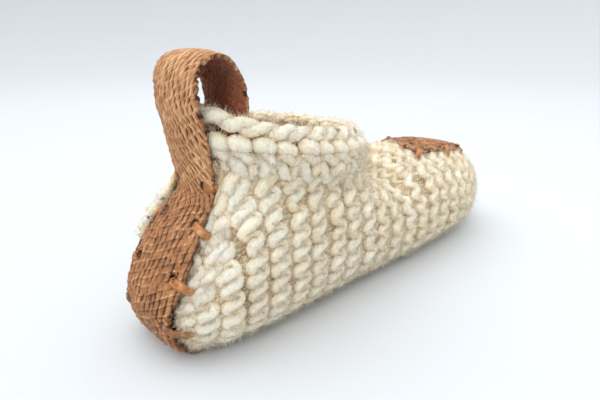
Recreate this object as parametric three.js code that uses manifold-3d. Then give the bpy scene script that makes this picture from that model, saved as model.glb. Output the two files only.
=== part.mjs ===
// Hand-knitted wool slipper with a fish-leather heel strip, pull loop and toe patch.
// Millimetres, +Z up. The heel points to -X and the toe to +X, and the slipper stands on z = 0.
import * as THREE from 'three';
import { mergeVertices } from 'three/addons/utils/BufferGeometryUtils.js';
import Module from 'manifold-3d';

const wasm = await Module();
wasm.setup();

const { clamp, lerp, smoothstep } = THREE.MathUtils;

// Driving dimensions of the knitted body
const SLIPPER_LENGTH = 265;
const BALL_HALF_WIDTH = 42;
const HEEL_HALF_WIDTH = 37;
const WOOL_WALL = 8;
const RIDGE_PITCH = 12.2;
const RIDGE_HEIGHT = 2.8;
const SOLE_WALL = 7;

// Plan rounding of heel and toe: how far it reaches from the end, and how square it is
const HEEL_ROUNDING = { reach: 30, power: 2.3 };
const TOE_ROUNDING = { reach: 66, power: 2.2 };

// The underside is a flat cut across rounded sections, which run a share deeper than the cut
const SOLE_ROUNDNESS = 2.4;
const SOLE_DEPTH = 1.075;

// The ridges fade out towards the sole, and towards both ends of the foot
const RIDGE_FADE_HEIGHT = 9;
const RIDGES_AT_HEEL = { none: 8, full: 20 };
const RIDGES_AT_TOE = { none: 3, full: 12 };

// Leather and its seating on the wool
const LEATHER = 1.8;
const SEAT_LIFT = 0.55;
const THONG_WIDTH = 4;
const THONG_THICKNESS = 1;
const THONG_CLEARANCE = 0.35;
const HOLE_DIAMETER = 3.6;

// The wool stands in from the outside of the leather by one leather and its seat
const LEATHER_BUILD = LEATHER + SEAT_LIFT;
const WOOL_BACK = LEATHER_BUILD;

// Sections across the foot, heel to toe. x is from the back of the slipper, half the half width at
// the widest place, which lies belly high, top the ridge crests, square the power of the upper curve.
const FOOT_SECTIONS = [
  { x: WOOL_BACK, half: HEEL_HALF_WIDTH, bottom: 21, belly: 22.5, top: 24, square: 2.2 },
  { x: 5, half: HEEL_HALF_WIDTH, bottom: 10, belly: 22, top: 31, square: 2.2 },
  { x: 10, half: HEEL_HALF_WIDTH, bottom: 4.6, belly: 22, top: 39, square: 2.2 },
  { x: 16, half: HEEL_HALF_WIDTH, bottom: LEATHER_BUILD, belly: 23, top: 48.5, square: 2.3 },
  { x: 24, half: HEEL_HALF_WIDTH, bottom: LEATHER_BUILD, belly: 24, top: 58, square: 2.5 },
  { x: 33, half: 37.5, bottom: LEATHER_BUILD, belly: 26, top: 68, square: 3 },
  { x: 44, half: 38.5, bottom: 0, belly: 27, top: 74, square: 3.8 },
  { x: 85, half: 39.5, bottom: 0, belly: 28, top: 73, square: 3.6 },
  { x: 112, half: 40, bottom: 0, belly: 28, top: 68, square: 3 },
  { x: 130, half: 40.5, bottom: 0, belly: 27, top: 58, square: 2.5 },
  { x: 143, half: 41, bottom: 0, belly: 27, top: 53, square: 2.3 },
  { x: 158, half: BALL_HALF_WIDTH, bottom: 0, belly: 27, top: 60.5, square: 2.2 },
  { x: 173, half: BALL_HALF_WIDTH, bottom: 0, belly: 27, top: 65.5, square: 2.2 },
  { x: 187, half: BALL_HALF_WIDTH, bottom: 0, belly: 27, top: 63.5, square: 2.2 },
  { x: 205, half: 41.5, bottom: 0.6, belly: 26.5, top: 62.5, square: 2.2 },
  { x: 230, half: 40, bottom: 3, belly: 26.5, top: 58, square: 2.2 },
  { x: 247, half: 38.5, bottom: 7, belly: 26.5, top: 53.5, square: 2.2 },
  { x: 257, half: 38, bottom: 12.5, belly: 27, top: 47, square: 2.2 },
  { x: 262.5, half: 38, bottom: 18.5, belly: 27, top: 38, square: 2.2 },
  { x: SLIPPER_LENGTH, half: 38, bottom: 25.5, belly: 27, top: 28.5, square: 2.2 },
];

// Rings of the collar, from the tuck inside the foot to the rim. level is the height at the middle
// of the collar; the collar climbs towards the heel. crest is how far the wool stands out there.
const COLLAR_MIDDLE = 80;
const COLLAR_CLIMB = 0.14;
const COLLAR_POWER = 2.3;
const COLLAR_WALL = 7;
const COLLAR_CREST = 1;
const COLLAR_SHAPE = [
  { level: 56, back: 33, front: 126, half: 35 },
  { level: 69, back: 31.2, front: 128, half: 36.5 },
  { level: 82, back: 28.6, front: 129.5, half: 36 },
  { level: 94, back: 26.2, front: 125, half: 33 },
];
const COLLAR_RELIEF = [
  { level: 56, crest: -5 },
  { level: 65, crest: -3.2 },
  { level: 69, crest: -1.6 },
  { level: 71.5, crest: 0.4 },
  { level: 74.5, crest: COLLAR_CREST },
  { level: 77.5, crest: 0 },
  { level: 79, crest: -1.6 },
  { level: 80.5, crest: 0 },
  { level: 83.5, crest: COLLAR_CREST },
  { level: 86.5, crest: 0 },
  { level: 88, crest: -1.2 },
  { level: 89.5, crest: 0.2 },
  { level: 92, crest: 0 },
  { level: 94, crest: -2.2 },
];

// Smooth curve through one named column of a table, without overshoot between its rows.
function smoothColumn(rows, along, name) {
  const xs = rows.map((row) => row[along]);
  const ys = rows.map((row) => row[name]);
  const chords = xs.slice(1).map((x, i) => (ys[i + 1] - ys[i]) / (x - xs[i]));
  const slopes = ys.map((_, i) => {
    const before = chords[i - 1] ?? chords[i];
    const after = chords[i] ?? chords[i - 1];
    return before * after <= 0 ? 0 : (2 * before * after) / (before + after);
  });
  return (x) => {
    const inside = clamp(x, xs[0], xs.at(-1));
    const next = xs.findIndex((edge, k) => k > 0 && inside <= edge);
    const i = next - 1;
    const span = xs[next] - xs[i];
    const t = (inside - xs[i]) / span;
    const rise = t * t * (3 - 2 * t);
    const leave = t * (1 - t) * (1 - t) * span * slopes[i];
    const arrive = t * t * (t - 1) * span * slopes[next];
    return lerp(ys[i], ys[next], rise) + leave + arrive;
  };
}

const foot = {};
for (const name of ['half', 'bottom', 'belly', 'top', 'square']) {
  foot[name] = smoothColumn(FOOT_SECTIONS, 'x', name);
}
const collar = {};
for (const name of ['back', 'front', 'half']) {
  collar[name] = smoothColumn(COLLAR_SHAPE, 'level', name);
}

function roundedEnd(distance, { reach, power }) {
  const left = clamp(1 - distance / reach, 0, 1);
  return (1 - left ** power) ** (1 / power);
}

// Sizes of the section at x, on the ridge crests
function footSection(x) {
  const heel = roundedEnd(x - WOOL_BACK, HEEL_ROUNDING);
  const toe = roundedEnd(SLIPPER_LENGTH - x, TOE_ROUNDING);
  return {
    half: foot.half(x) * heel * toe,
    bottom: foot.bottom(x),
    belly: foot.belly(x),
    top: foot.top(x),
    square: foot.square(x),
  };
}

function powered(value, power) {
  return Math.sign(value) * Math.abs(value) ** power;
}

// True where a point lies inside the ridge crests of the foot or of the collar.
function insideCrests({ x, y, z }) {
  return insideFoot(x, y, z) || insideCollar(x, y, z);
}

function insideFoot(x, y, z) {
  if (x <= WOOL_BACK || x >= SLIPPER_LENGTH) return false;
  const { half, bottom, belly, top, square } = footSection(x);
  if (half <= 0 || z < bottom) return false;
  const across = Math.abs(y) / half;
  const above = z > belly;
  const power = above ? square : SOLE_ROUNDNESS;
  const height = above ? (z - belly) / (top - belly) : (belly - z) / ((belly - bottom) * SOLE_DEPTH);
  return across ** power + height ** power <= 1;
}

function insideCollar(x, y, z) {
  const level = z + COLLAR_CLIMB * (x - COLLAR_MIDDLE);
  if (level < COLLAR_SHAPE[0].level || level > COLLAR_SHAPE.at(-1).level) return false;
  const back = collar.back(level) - COLLAR_CREST;
  const front = collar.front(level) + COLLAR_CREST;
  const half = collar.half(level) + COLLAR_CREST;
  const along = Math.abs(x - (back + front) / 2) / ((front - back) / 2);
  return along ** COLLAR_POWER + (Math.abs(y) / half) ** COLLAR_POWER <= 1;
}

// First point where a straight line from outside meets the ridge crests
const SEEK = { step: 0.5, reach: 90, halvings: 16 };

function meetCrests(start, direction) {
  const point = new THREE.Vector3();
  let far = 0;
  do {
    far += SEEK.step;
    point.copy(start).addScaledVector(direction, far);
  } while (!insideCrests(point) && far < SEEK.reach);
  let near = far - SEEK.step;
  for (let halving = 0; halving < SEEK.halvings; halving += 1) {
    const middle = (near + far) / 2;
    point.copy(start).addScaledVector(direction, middle);
    if (insideCrests(point)) far = middle;
    else near = middle;
  }
  return start.clone().addScaledVector(direction, far);
}

// Solid from a list of corner points and triangles, turned outwards
function solidGeometry(points, triangles) {
  let volume = 0;
  for (const [a, b, c] of triangles) {
    volume += points[a].dot(points[b].clone().cross(points[c]));
  }
  const geometry = new THREE.BufferGeometry();
  const corners = points.flatMap((point) => point.toArray());
  geometry.setAttribute('position', new THREE.Float32BufferAttribute(corners, 3));
  geometry.setIndex(triangles.flatMap(([a, b, c]) => (volume > 0 ? [a, b, c] : [a, c, b])));
  return geometry;
}

// Triangles between neighbouring rings of equal count
function ringWalls(rings) {
  const count = rings[0].length;
  const triangles = [];
  for (let ring = 0; ring + 1 < rings.length; ring += 1) {
    for (let k = 0; k < count; k += 1) {
      const a = ring * count + k;
      const b = ring * count + ((k + 1) % count);
      triangles.push([a, b, b + count], [a, b + count, a + count]);
    }
  }
  return triangles;
}

// Closed skin over rings of equal count, with a fan over the first and last ring
function ringedSolid(rings) {
  const count = rings[0].length;
  const points = rings.flat();
  const triangles = ringWalls(rings);
  const lastStart = (rings.length - 1) * count;
  for (const [start, turned] of [[0, false], [lastStart, true]]) {
    const centre = new THREE.Vector3();
    for (let k = 0; k < count; k += 1) centre.addScaledVector(points[start + k], 1 / count);
    const middle = points.push(centre) - 1;
    for (let k = 0; k < count; k += 1) {
      const a = start + k;
      const b = start + ((k + 1) % count);
      triangles.push(turned ? [middle, a, b] : [middle, b, a]);
    }
  }
  return solidGeometry(points, triangles);
}

// Normals of a grid of points, one for each, across its two directions
function gridNormals(grid) {
  return grid.map((row, i) => row.map((_, j) => {
    const along = (grid[i + 1] ?? row)[j].clone().sub((grid[i - 1] ?? row)[j]);
    const across = (row[j + 1] ?? row[j]).clone().sub(row[j - 1] ?? row[j]);
    return along.cross(across).normalize();
  }));
}

// Sheet of even thickness whose lower face stands lift(i, j) off a grid of points
function sheetSolid(grid, lift, thickness) {
  const normals = gridNormals(grid);
  const raised = (extra) => grid.map((row, i) => row.map((point, j) => (
    point.clone().addScaledVector(normals[i][j], lift(i, j) + extra)
  )));
  return ringedSheet(raised(0), raised(thickness));
}

// Each row of a sheet is a closed ring, up one face and back along the other; the ends are ladders.
function ringedSheet(lower, upper) {
  const across = lower[0].length;
  const rings = lower.map((row, i) => [...row, ...upper[i].slice().reverse()]);
  const count = across * 2;
  const points = rings.flat();
  const triangles = ringWalls(rings);
  const lastStart = (rings.length - 1) * count;
  for (const [start, turned] of [[0, false], [lastStart, true]]) {
    for (let k = 0; k + 1 < across; k += 1) {
      const [a, b] = [start + k, start + k + 1];
      const [c, d] = [start + count - 2 - k, start + count - 1 - k];
      const ladder = [[a, c, b], [a, d, c]];
      for (const [p, q, r] of ladder) triangles.push(turned ? [p, r, q] : [p, q, r]);
    }
  }
  return solidGeometry(points, triangles);
}

// Boolean joins and cuts
const MERGE_DISTANCE = 1e-4;

function toManifold(geometry) {
  geometry.deleteAttribute('normal');
  geometry.deleteAttribute('uv');
  const merged = mergeVertices(geometry, MERGE_DISTANCE);
  return new wasm.Manifold(new wasm.Mesh({
    numProp: 3,
    vertProperties: new Float32Array(merged.attributes.position.array),
    triVerts: new Uint32Array(merged.index.array),
  }));
}

function toGeometry(manifold) {
  const { vertProperties, triVerts } = manifold.getMesh();
  const geometry = new THREE.BufferGeometry();
  geometry.setAttribute('position', new THREE.BufferAttribute(vertProperties, 3));
  geometry.setIndex(new THREE.BufferAttribute(triVerts, 1));
  return geometry;
}

// Knitted body
const RING_POINTS = 30;
const INNER_POINTS = 20;
const COLLAR_POINTS = 36;
const RIDGE_STEPS = 4;
const END_FLAT = 0.4;
const LEAST_HALF = 0.4;
const OUTER_ENDS = { reach: 12, rings: 5 };
const INNER_ENDS = { reach: 12, rings: 3 };
const INNER_SPACING = 13;
const INNER_COLLAR_LEVELS = [58, 69, 82, 94, 112];

// One ring of the foot at x. inset draws the whole ring in, and ridged rings dip between crests.
function footRing(x, inset, soleInset, ridged, count) {
  const { half, bottom, belly, top, square } = footSection(x);
  const floor = bottom + soleInset;
  const phase = Math.cos((2 * Math.PI * x) / RIDGE_PITCH);
  const atHeel = smoothstep(x, RIDGES_AT_HEEL.none, RIDGES_AT_HEEL.full);
  const atToe = smoothstep(SLIPPER_LENGTH - x, RIDGES_AT_TOE.none, RIDGES_AT_TOE.full);
  const dip = ridged ? RIDGE_HEIGHT * (0.5 - 0.5 * phase) * atHeel * atToe : 0;
  return Array.from({ length: count }, (_, k) => {
    const angle = (2 * Math.PI * (k + 0.5)) / count;
    const [across, up] = [Math.cos(angle), Math.sin(angle)];
    const power = 2 / (up > 0 ? square : SOLE_ROUNDNESS);
    const high = up > 0 ? top - belly : (belly - bottom) * SOLE_DEPTH;
    const plainZ = belly + high * powered(up, power);
    const inwards = inset + dip * smoothstep(plainZ - bottom, 0, RIDGE_FADE_HEIGHT);
    const y = Math.max(half - inwards, LEAST_HALF) * powered(across, power);
    const z = belly + Math.max(high - inwards, LEAST_HALF) * powered(up, power);
    return new THREE.Vector3(x, y, Math.max(z, floor));
  });
}

// Places of the rings: evenly along the ridges, and closer where heel and toe round off
function footPlaces(start, end, spacing, { reach, rings }) {
  const places = [];
  for (let k = 0; k < rings; k += 1) places.push(start + reach * (k / rings) ** 2);
  const middleSteps = Math.round((end - start - 2 * reach) / spacing);
  for (let k = 0; k <= middleSteps; k += 1) {
    places.push(lerp(start + reach, end - reach, k / middleSteps));
  }
  for (let k = rings - 1; k >= 0; k -= 1) places.push(end - reach * (k / rings) ** 2);
  return places;
}

function collarRing(level, crest) {
  const back = collar.back(level) - crest;
  const front = collar.front(level) + crest;
  const half = collar.half(level) + crest;
  return Array.from({ length: COLLAR_POINTS }, (_, k) => {
    const angle = (2 * Math.PI * k) / COLLAR_POINTS;
    const x = (back + front) / 2 + ((front - back) / 2) * powered(Math.cos(angle), 2 / COLLAR_POWER);
    const y = half * powered(Math.sin(angle), 2 / COLLAR_POWER);
    return new THREE.Vector3(x, y, level - COLLAR_CLIMB * (x - COLLAR_MIDDLE));
  });
}

function knittedBody() {
  const [outerStart, outerEnd] = [WOOL_BACK + END_FLAT, SLIPPER_LENGTH - END_FLAT];
  const outerPlaces = footPlaces(outerStart, outerEnd, RIDGE_PITCH / RIDGE_STEPS, OUTER_ENDS);
  const outerFoot = ringedSolid(outerPlaces.map((x) => footRing(x, 0, 0, true, RING_POINTS)));
  const [innerStart, innerEnd] = [WOOL_BACK + WOOL_WALL, SLIPPER_LENGTH - WOOL_WALL];
  const innerPlaces = footPlaces(innerStart, innerEnd, INNER_SPACING, INNER_ENDS);
  const innerFoot = ringedSolid(innerPlaces.map((x) => (
    footRing(x, WOOL_WALL, SOLE_WALL, false, INNER_POINTS)
  )));
  const outerCollar = ringedSolid(COLLAR_RELIEF.map(({ level, crest }) => collarRing(level, crest)));
  const innerCollar = ringedSolid(INNER_COLLAR_LEVELS.map((level) => collarRing(level, -COLLAR_WALL)));
  const outside = toManifold(outerFoot).add(toManifold(outerCollar));
  const inside = toManifold(innerFoot).add(toManifold(innerCollar));
  return toGeometry(outside.subtract(inside));
}

// Heel strip. Its lower part lies on the wool, from under the heel to the back of the collar; the
// upper part is the free pull loop, whose end comes down inside the collar.
const STRIP_COLUMNS = 9;
const STRIP_ROWS = { sole: 4, turn: 9, back: 15 };
const LOOP_HALF_WIDTH = 16;
const STRIP_SOLE_END = 28;
const STRIP_TURN = { x: 24, z: 24, reach: 60 };
const STRIP_UNDER = -30;
const UNDER_FLOOR = -8;
const LOOP_OVERHEAD = { from: 112, to: 122 };
const STRIP_LEAVES_WOOL = 97;

// Half width of the strip along its way, by height on the back and by reach under the heel
const STRIP_WIDTHS = [
  { way: -36, half: 17 },
  { way: -20, half: 18.5 },
  { way: 0, half: 18.5 },
  { way: 14, half: 21 },
  { way: 26, half: 18.5 },
  { way: 36, half: 16 },
  { way: 43, half: 14.4 },
  { way: 54, half: 15 },
  { way: 76, half: 16.6 },
  { way: 100, half: LOOP_HALF_WIDTH },
];

// Pull loop, inner face on the middle line, from the back of the collar over to its inside. cup is
// how far the edges stand away from the middle, towards the foot or down.
const PULL_LOOP = [
  { x: 24.8, z: 105, cup: 2.2 },
  { x: 24.7, z: 111, cup: 2.2 },
  { x: 25.6, z: 117, cup: 2 },
  { x: 28.3, z: 122, cup: 1.6 },
  { x: 32.6, z: 125.2, cup: 1.4 },
  { x: 37.4, z: 126, cup: 1.4 },
  { x: 41.8, z: 123.8, cup: 1.6 },
  { x: 44.8, z: 118.8, cup: 2 },
  { x: 46.2, z: 112, cup: 2.2 },
  { x: 46.4, z: 105, cup: 2.6 },
  { x: 45.6, z: 98, cup: 3.4 },
  { x: 43.8, z: 91, cup: 4.2 },
  { x: 41.4, z: 84, cup: 5 },
  { x: 39, z: 77, cup: 5.8 },
];

const stripHalf = smoothColumn(STRIP_WIDTHS, 'way', 'half');

function stripGrid() {
  const across = Array.from({ length: STRIP_COLUMNS }, (_, j) => (2 * j) / (STRIP_COLUMNS - 1) - 1);
  const rows = [];
  const layRow = (way, originX, originZ, direction) => {
    rows.push(across.map((side) => {
      const start = new THREE.Vector3(originX, side * stripHalf(way), originZ);
      return meetCrests(start, direction);
    }));
  };
  const upwards = new THREE.Vector3(0, 0, 1);
  for (let k = 0; k < STRIP_ROWS.sole; k += 1) {
    const x = lerp(STRIP_SOLE_END, STRIP_TURN.x, k / STRIP_ROWS.sole);
    layRow(STRIP_UNDER - (x - STRIP_TURN.x), x, UNDER_FLOOR, upwards);
  }
  for (let k = 0; k < STRIP_ROWS.turn; k += 1) {
    const angle = (Math.PI / 2) * (k / STRIP_ROWS.turn);
    const direction = new THREE.Vector3(Math.sin(angle), 0, Math.cos(angle));
    const originX = STRIP_TURN.x - STRIP_TURN.reach * direction.x;
    const originZ = STRIP_TURN.z - STRIP_TURN.reach * direction.z;
    layRow(lerp(STRIP_UNDER, 0, k / STRIP_ROWS.turn), originX, originZ, direction);
  }
  for (let k = 0; k <= STRIP_ROWS.back; k += 1) {
    const z = lerp(STRIP_TURN.z, STRIP_LEAVES_WOOL, k / STRIP_ROWS.back);
    layRow(z - STRIP_TURN.z, HEEL_RAY_X, z, INTO_HEEL);
  }
  for (const { x, z, cup } of PULL_LOOP) {
    const overhead = smoothstep(z, LOOP_OVERHEAD.from, LOOP_OVERHEAD.to);
    rows.push(across.map((side) => {
      const bow = cup * side * side;
      return new THREE.Vector3(x + bow * (1 - overhead), side * LOOP_HALF_WIDTH, z - bow * overhead);
    }));
  }
  return rows;
}

// Punched hole: a round bar through the leather at a place, along a direction
const HOLE_REACH = 20;
const HOLE_SIDES = 12;

function holeBar(place, direction) {
  const radius = HOLE_DIAMETER / 2;
  const geometry = new THREE.CylinderGeometry(radius, radius, HOLE_REACH, HOLE_SIDES);
  const turn = new THREE.Quaternion().setFromUnitVectors(new THREE.Vector3(0, 1, 0), direction);
  geometry.applyQuaternion(turn);
  geometry.translate(place.x, place.y, place.z);
  return toManifold(geometry);
}

// Thongs that lash the heel strip, by side and height on the back: from the hole to the tip
const HEEL_THONGS = [
  { name: 'ankle', holeSide: 8.5, holeZ: 73.5, tipSide: 18, tipZ: 71.5 },
  { name: 'upper', holeSide: 11, holeZ: 57.5, tipSide: 22, tipZ: 53.5 },
  { name: 'lower', holeSide: 13, holeZ: 38.5, tipSide: 24.5, tipZ: 34 },
  { name: 'floor', holeSide: 13.5, holeZ: 20, tipSide: 28, tipZ: 15 },
];

// Thongs that lash the toe patch, by place in plan: from the hole to the tip
const TOE_THONGS = [
  { name: 'rear', holeX: 190, holeSide: 7, tipX: 176, tipSide: 6 },
  { name: 'corner', holeX: 194, holeSide: 14, tipX: 181, tipSide: 24 },
  { name: 'side', holeX: 221, holeSide: 14, tipX: 215, tipSide: 26 },
  { name: 'front', holeX: 240, holeSide: 10.5, tipX: 242, tipSide: 22.5 },
  { name: 'tip', holeX: 247.5, holeSide: 4, tipX: 259, tipSide: 6 },
];

const INTO_HEEL = new THREE.Vector3(1, 0, 0);
const INTO_TOE = new THREE.Vector3(0, 0, -1);
const HEEL_RAY_X = -20;
const TOE_RAY_Z = 90;

function onHeel(y, z) {
  return meetCrests(new THREE.Vector3(HEEL_RAY_X, y, z), INTO_HEEL);
}

function onToe(x, y) {
  return meetCrests(new THREE.Vector3(x, y, TOE_RAY_Z), INTO_TOE);
}

function heelStrip() {
  const grid = stripGrid();
  const seatedRows = grid.length - PULL_LOOP.length;
  const lift = (i) => SEAT_LIFT * (1 - smoothstep(i, seatedRows - 1, seatedRows + 2));
  let strip = toManifold(sheetSolid(grid, lift, LEATHER));
  for (const { holeSide, holeZ } of HEEL_THONGS) {
    for (const side of [-1, 1]) {
      strip = strip.subtract(holeBar(onHeel(side * holeSide, holeZ), INTO_HEEL));
    }
  }
  return toGeometry(strip);
}

// Toe patch: a leaf of leather over the crown of the toe, square at the back and slim at the front
const TOE_PATCH = [
  { x: 184, half: 15 },
  { x: 188, half: 18 },
  { x: 198, half: 20 },
  { x: 220, half: 20 },
  { x: 236, half: 17.5 },
  { x: 246, half: 13 },
  { x: 252, half: 7.5 },
];
const PATCH_ROWS = 14;
const PATCH_COLUMNS = 7;
const PATCH_SKEW = 0.4;
const SKEW_LIMIT = 1.2;
const patchHalf = smoothColumn(TOE_PATCH, 'x', 'half');

// The patch is cut askew: its back edge runs forward to the left side, and its front lies true.
function onSkewedToe(x, y) {
  const [start, end] = [TOE_PATCH[0].x, TOE_PATCH.at(-1).x];
  const rearward = clamp((end - x) / (end - start), 0, SKEW_LIMIT);
  return onToe(x + PATCH_SKEW * y * rearward, y);
}

function toePatch() {
  const [start, end] = [TOE_PATCH[0].x, TOE_PATCH.at(-1).x];
  const grid = Array.from({ length: PATCH_ROWS }, (_, i) => {
    const x = lerp(start, end, i / (PATCH_ROWS - 1));
    return Array.from({ length: PATCH_COLUMNS }, (__, j) => {
      const side = (2 * j) / (PATCH_COLUMNS - 1) - 1;
      return onSkewedToe(x, side * patchHalf(x));
    });
  });
  let patch = toManifold(sheetSolid(grid, () => SEAT_LIFT, LEATHER));
  for (const { holeX, holeSide } of TOE_THONGS) {
    for (const side of [-1, 1]) {
      patch = patch.subtract(holeBar(onSkewedToe(holeX, side * holeSide), INTO_TOE));
    }
  }
  return toGeometry(patch);
}

// Thong along a straight run on the surface, lifted over the leather and down on to the wool.
// find(place) gives the wool under a place of the run, and covered(place) tells where leather is.
const THONG_ROWS = 7;
const EDGE_MARGIN = 2.4;
const THONG_START = HOLE_DIAMETER / 2 + 0.3;

function thong(from, to, find, covered, facing) {
  const along = to.clone().sub(from).normalize();
  const across = along.clone().cross(facing).negate();
  const begin = from.clone().addScaledVector(along, THONG_START);
  const places = Array.from({ length: THONG_ROWS }, (_, i) => (
    begin.clone().lerp(to, i / (THONG_ROWS - 1))
  ));
  const grid = places.map((place) => [-1, 1].map((side) => (
    find(place.clone().addScaledVector(across, (side * THONG_WIDTH) / 2))
  )));
  const lift = (i) => (covered(places[i]) ? LEATHER_BUILD + THONG_CLEARANCE : SEAT_LIFT);
  return sheetSolid(grid, lift, THONG_THICKNESS);
}

function heelThong({ holeSide, holeZ, tipSide, tipZ }, side) {
  const from = new THREE.Vector3(0, side * holeSide, holeZ);
  const to = new THREE.Vector3(0, side * tipSide, tipZ);
  const covered = ({ y, z }) => Math.abs(y) < stripHalf(z - STRIP_TURN.z) + EDGE_MARGIN;
  return thong(from, to, ({ y, z }) => onHeel(y, z), covered, INTO_HEEL.clone().negate());
}

function toeThong({ holeX, holeSide, tipX, tipSide }, side) {
  const from = new THREE.Vector3(holeX, side * holeSide, 0);
  const to = new THREE.Vector3(tipX, side * tipSide, 0);
  const covered = ({ x, y }) => (
    x > TOE_PATCH[0].x - EDGE_MARGIN
      && x < TOE_PATCH.at(-1).x + EDGE_MARGIN
      && Math.abs(y) < patchHalf(x) + EDGE_MARGIN
  );
  return thong(from, to, ({ x, y }) => onSkewedToe(x, y), covered, INTO_TOE.clone().negate());
}

const group = new THREE.Group();

function addPiece(name, geometry, material) {
  const mesh = new THREE.Mesh(geometry, material);
  mesh.name = name;
  group.add(mesh);
}

const wool = new THREE.MeshStandardMaterial({ color: '#e9dfcb', roughness: 0.95, metalness: 0 });
const fishLeather = new THREE.MeshStandardMaterial({ color: '#b97a4a', roughness: 0.7, metalness: 0 });
const thongLeather = new THREE.MeshStandardMaterial({ color: '#b06a34', roughness: 0.6, metalness: 0 });

addPiece('knit_body', knittedBody(), wool);
addPiece('heel_strip', heelStrip(), fishLeather);
addPiece('toe_patch', toePatch(), fishLeather);
for (const [hand, side] of [['right', -1], ['left', 1]]) {
  for (const row of HEEL_THONGS) {
    addPiece(`heel_thong_${row.name}_${hand}`, heelThong(row, side), thongLeather);
  }
  for (const row of TOE_THONGS) {
    addPiece(`toe_thong_${row.name}_${hand}`, toeThong(row, side), thongLeather);
  }
}

// The origin is under the middle of the slipper, on the floor.
const box = new THREE.Box3().setFromObject(group);
const middle = box.getCenter(new THREE.Vector3());
for (const mesh of group.children) {
  mesh.geometry.translate(-middle.x, -middle.y, -box.min.z);
}

export default group;
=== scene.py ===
import math

import bmesh
import bpy
import numpy as np
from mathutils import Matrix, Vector
from mathutils.bvhtree import BVHTree
from numpy.random import default_rng


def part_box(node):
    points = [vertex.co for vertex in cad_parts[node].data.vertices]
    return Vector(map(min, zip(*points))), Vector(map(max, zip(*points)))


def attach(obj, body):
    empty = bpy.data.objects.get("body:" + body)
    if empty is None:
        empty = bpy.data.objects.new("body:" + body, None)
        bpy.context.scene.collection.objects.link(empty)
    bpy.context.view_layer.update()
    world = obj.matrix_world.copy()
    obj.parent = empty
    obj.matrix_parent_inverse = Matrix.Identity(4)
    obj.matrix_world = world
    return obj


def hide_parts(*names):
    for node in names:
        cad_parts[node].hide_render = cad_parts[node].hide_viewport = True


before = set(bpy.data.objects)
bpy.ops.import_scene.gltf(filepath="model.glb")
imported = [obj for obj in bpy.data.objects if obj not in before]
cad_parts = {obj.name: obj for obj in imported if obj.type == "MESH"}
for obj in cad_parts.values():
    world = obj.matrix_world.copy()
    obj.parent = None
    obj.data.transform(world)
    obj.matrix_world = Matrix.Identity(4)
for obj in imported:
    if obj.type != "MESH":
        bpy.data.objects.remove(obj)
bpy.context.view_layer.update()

MM = 0.001
TURN = 2 * math.pi
HEEL_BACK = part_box("heel_strip")[0].x

# Knitting, in metres. A ridge is two rows of loops: the heads of one and the feet of the next.
RIDGE_PITCH = 12.2 * MM
COLLAR_PITCH = 9 * MM
FLOOR_GAP = 0.2 * MM
LEG_DEPTH = 2.4 * MM
LEG_STITCH = 4.6 * MM
LEG_RADIUS = 2.3 * MM
FELT_DEPTH = 7 * MM
HEEL_FELT_DEPTH = 3 * MM
COLLAR_FELT_DEPTH = 5 * MM
YARN_SIDES = 12
LUMPS = 0.055
HAIRS = 48000
HAIR_LENGTH = 2.4 * MM
SHORTEST_HAIR, LONGEST_HAIR = 1 * MM, 4 * MM
HAIR_WIDTH = 0.18 * MM

# The collar stands on a plane that climbs towards the heel; levels are heights at its middle.
COLLAR_MIDDLE = HEEL_BACK + 80 * MM
COLLAR_CLIMB = 0.14
CREASE_LEVEL = 72.5 * MM
COLLAR_REAR, COLLAR_FRONT = 30 * MM, 128 * MM
COLLAR_RIDGES = (73.6 * MM,)
BEAD_LEVEL, ARC_LEVEL = 85 * MM, 80 * MM
CREASE_RIDGE, CREASE_FOOT = 67 * MM, 66 * MM
CREASE_SPAN, CREASE_DROPS = (-1.3, 1.3), (4 * MM, 8 * MM)
LINING_RIDGES = (74 * MM, 81 * MM, 88 * MM)
RIM_LEVEL = 92.4 * MM
RIM_INSET, RIM_LIFT = 6 * MM, 4 * MM
REAR_LIFT, REAR_SPREAD = 4.5 * MM, 0.6

# Leather, in metres
STRIP_THICKNESS = 1.6 * MM
HOLE_RADIUS = 1.8 * MM
THONG_WIDTH = 4 * MM
THONG_THICKNESS = 1 * MM
HOLE_TO_THONG = HOLE_RADIUS + 0.3 * MM

# Camera, where the photograph was taken from: place from the back of the heel, heading and pitch
CAMERA_PLACE = Vector((HEEL_BACK - 72 * MM, -171.6 * MM, 135 * MM))
CAMERA_HEADING = math.radians(44.3)
CAMERA_PITCH = math.radians(20.1)
CAMERA_LENS = 28.15
CAMERA_SENSOR = 36


def add_camera():
    data = bpy.data.cameras.new("photo_camera")
    data.sensor_width = CAMERA_SENSOR
    data.lens = CAMERA_LENS
    data.clip_start = 10 * MM
    camera = bpy.data.objects.new("photo_camera", data)
    level = math.cos(CAMERA_PITCH)
    look = Vector((math.sin(CAMERA_HEADING) * level, math.cos(CAMERA_HEADING) * level,
                   -math.sin(CAMERA_PITCH)))
    camera.location = CAMERA_PLACE
    camera.rotation_euler = look.to_track_quat("-Z", "Y").to_euler()
    bpy.context.collection.objects.link(camera)
    bpy.context.scene.camera = camera


add_camera()


# Helpers for nodes, colours and objects
def linear(code):
    """Linear colour of an sRGB hex value."""
    parts = [int(code[i:i + 2], 16) / 255 for i in (1, 3, 5)]
    return (*[p / 12.92 if p <= 0.04045 else ((p + 0.055) / 1.055) ** 2.4 for p in parts], 1)


def set_node(tree, node, settings=(), links=()):
    """Settings are a node's properties, a ramp's stops or the values of inputs; links go by input."""
    for name, value in dict(settings).items():
        if name == "stops":
            elements = node.color_ramp.elements
            while len(elements) < len(value):
                elements.new(0.5)
            for element, (place, code) in zip(elements, value):
                element.position = place
                element.color = linear(code)
        elif isinstance(name, str) and hasattr(node, name):
            setattr(node, name, value)
        else:
            node.inputs[name].default_value = value
    for name, socket in dict(links).items():
        tree.links.new(socket, node.inputs[name])
    return node


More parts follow.
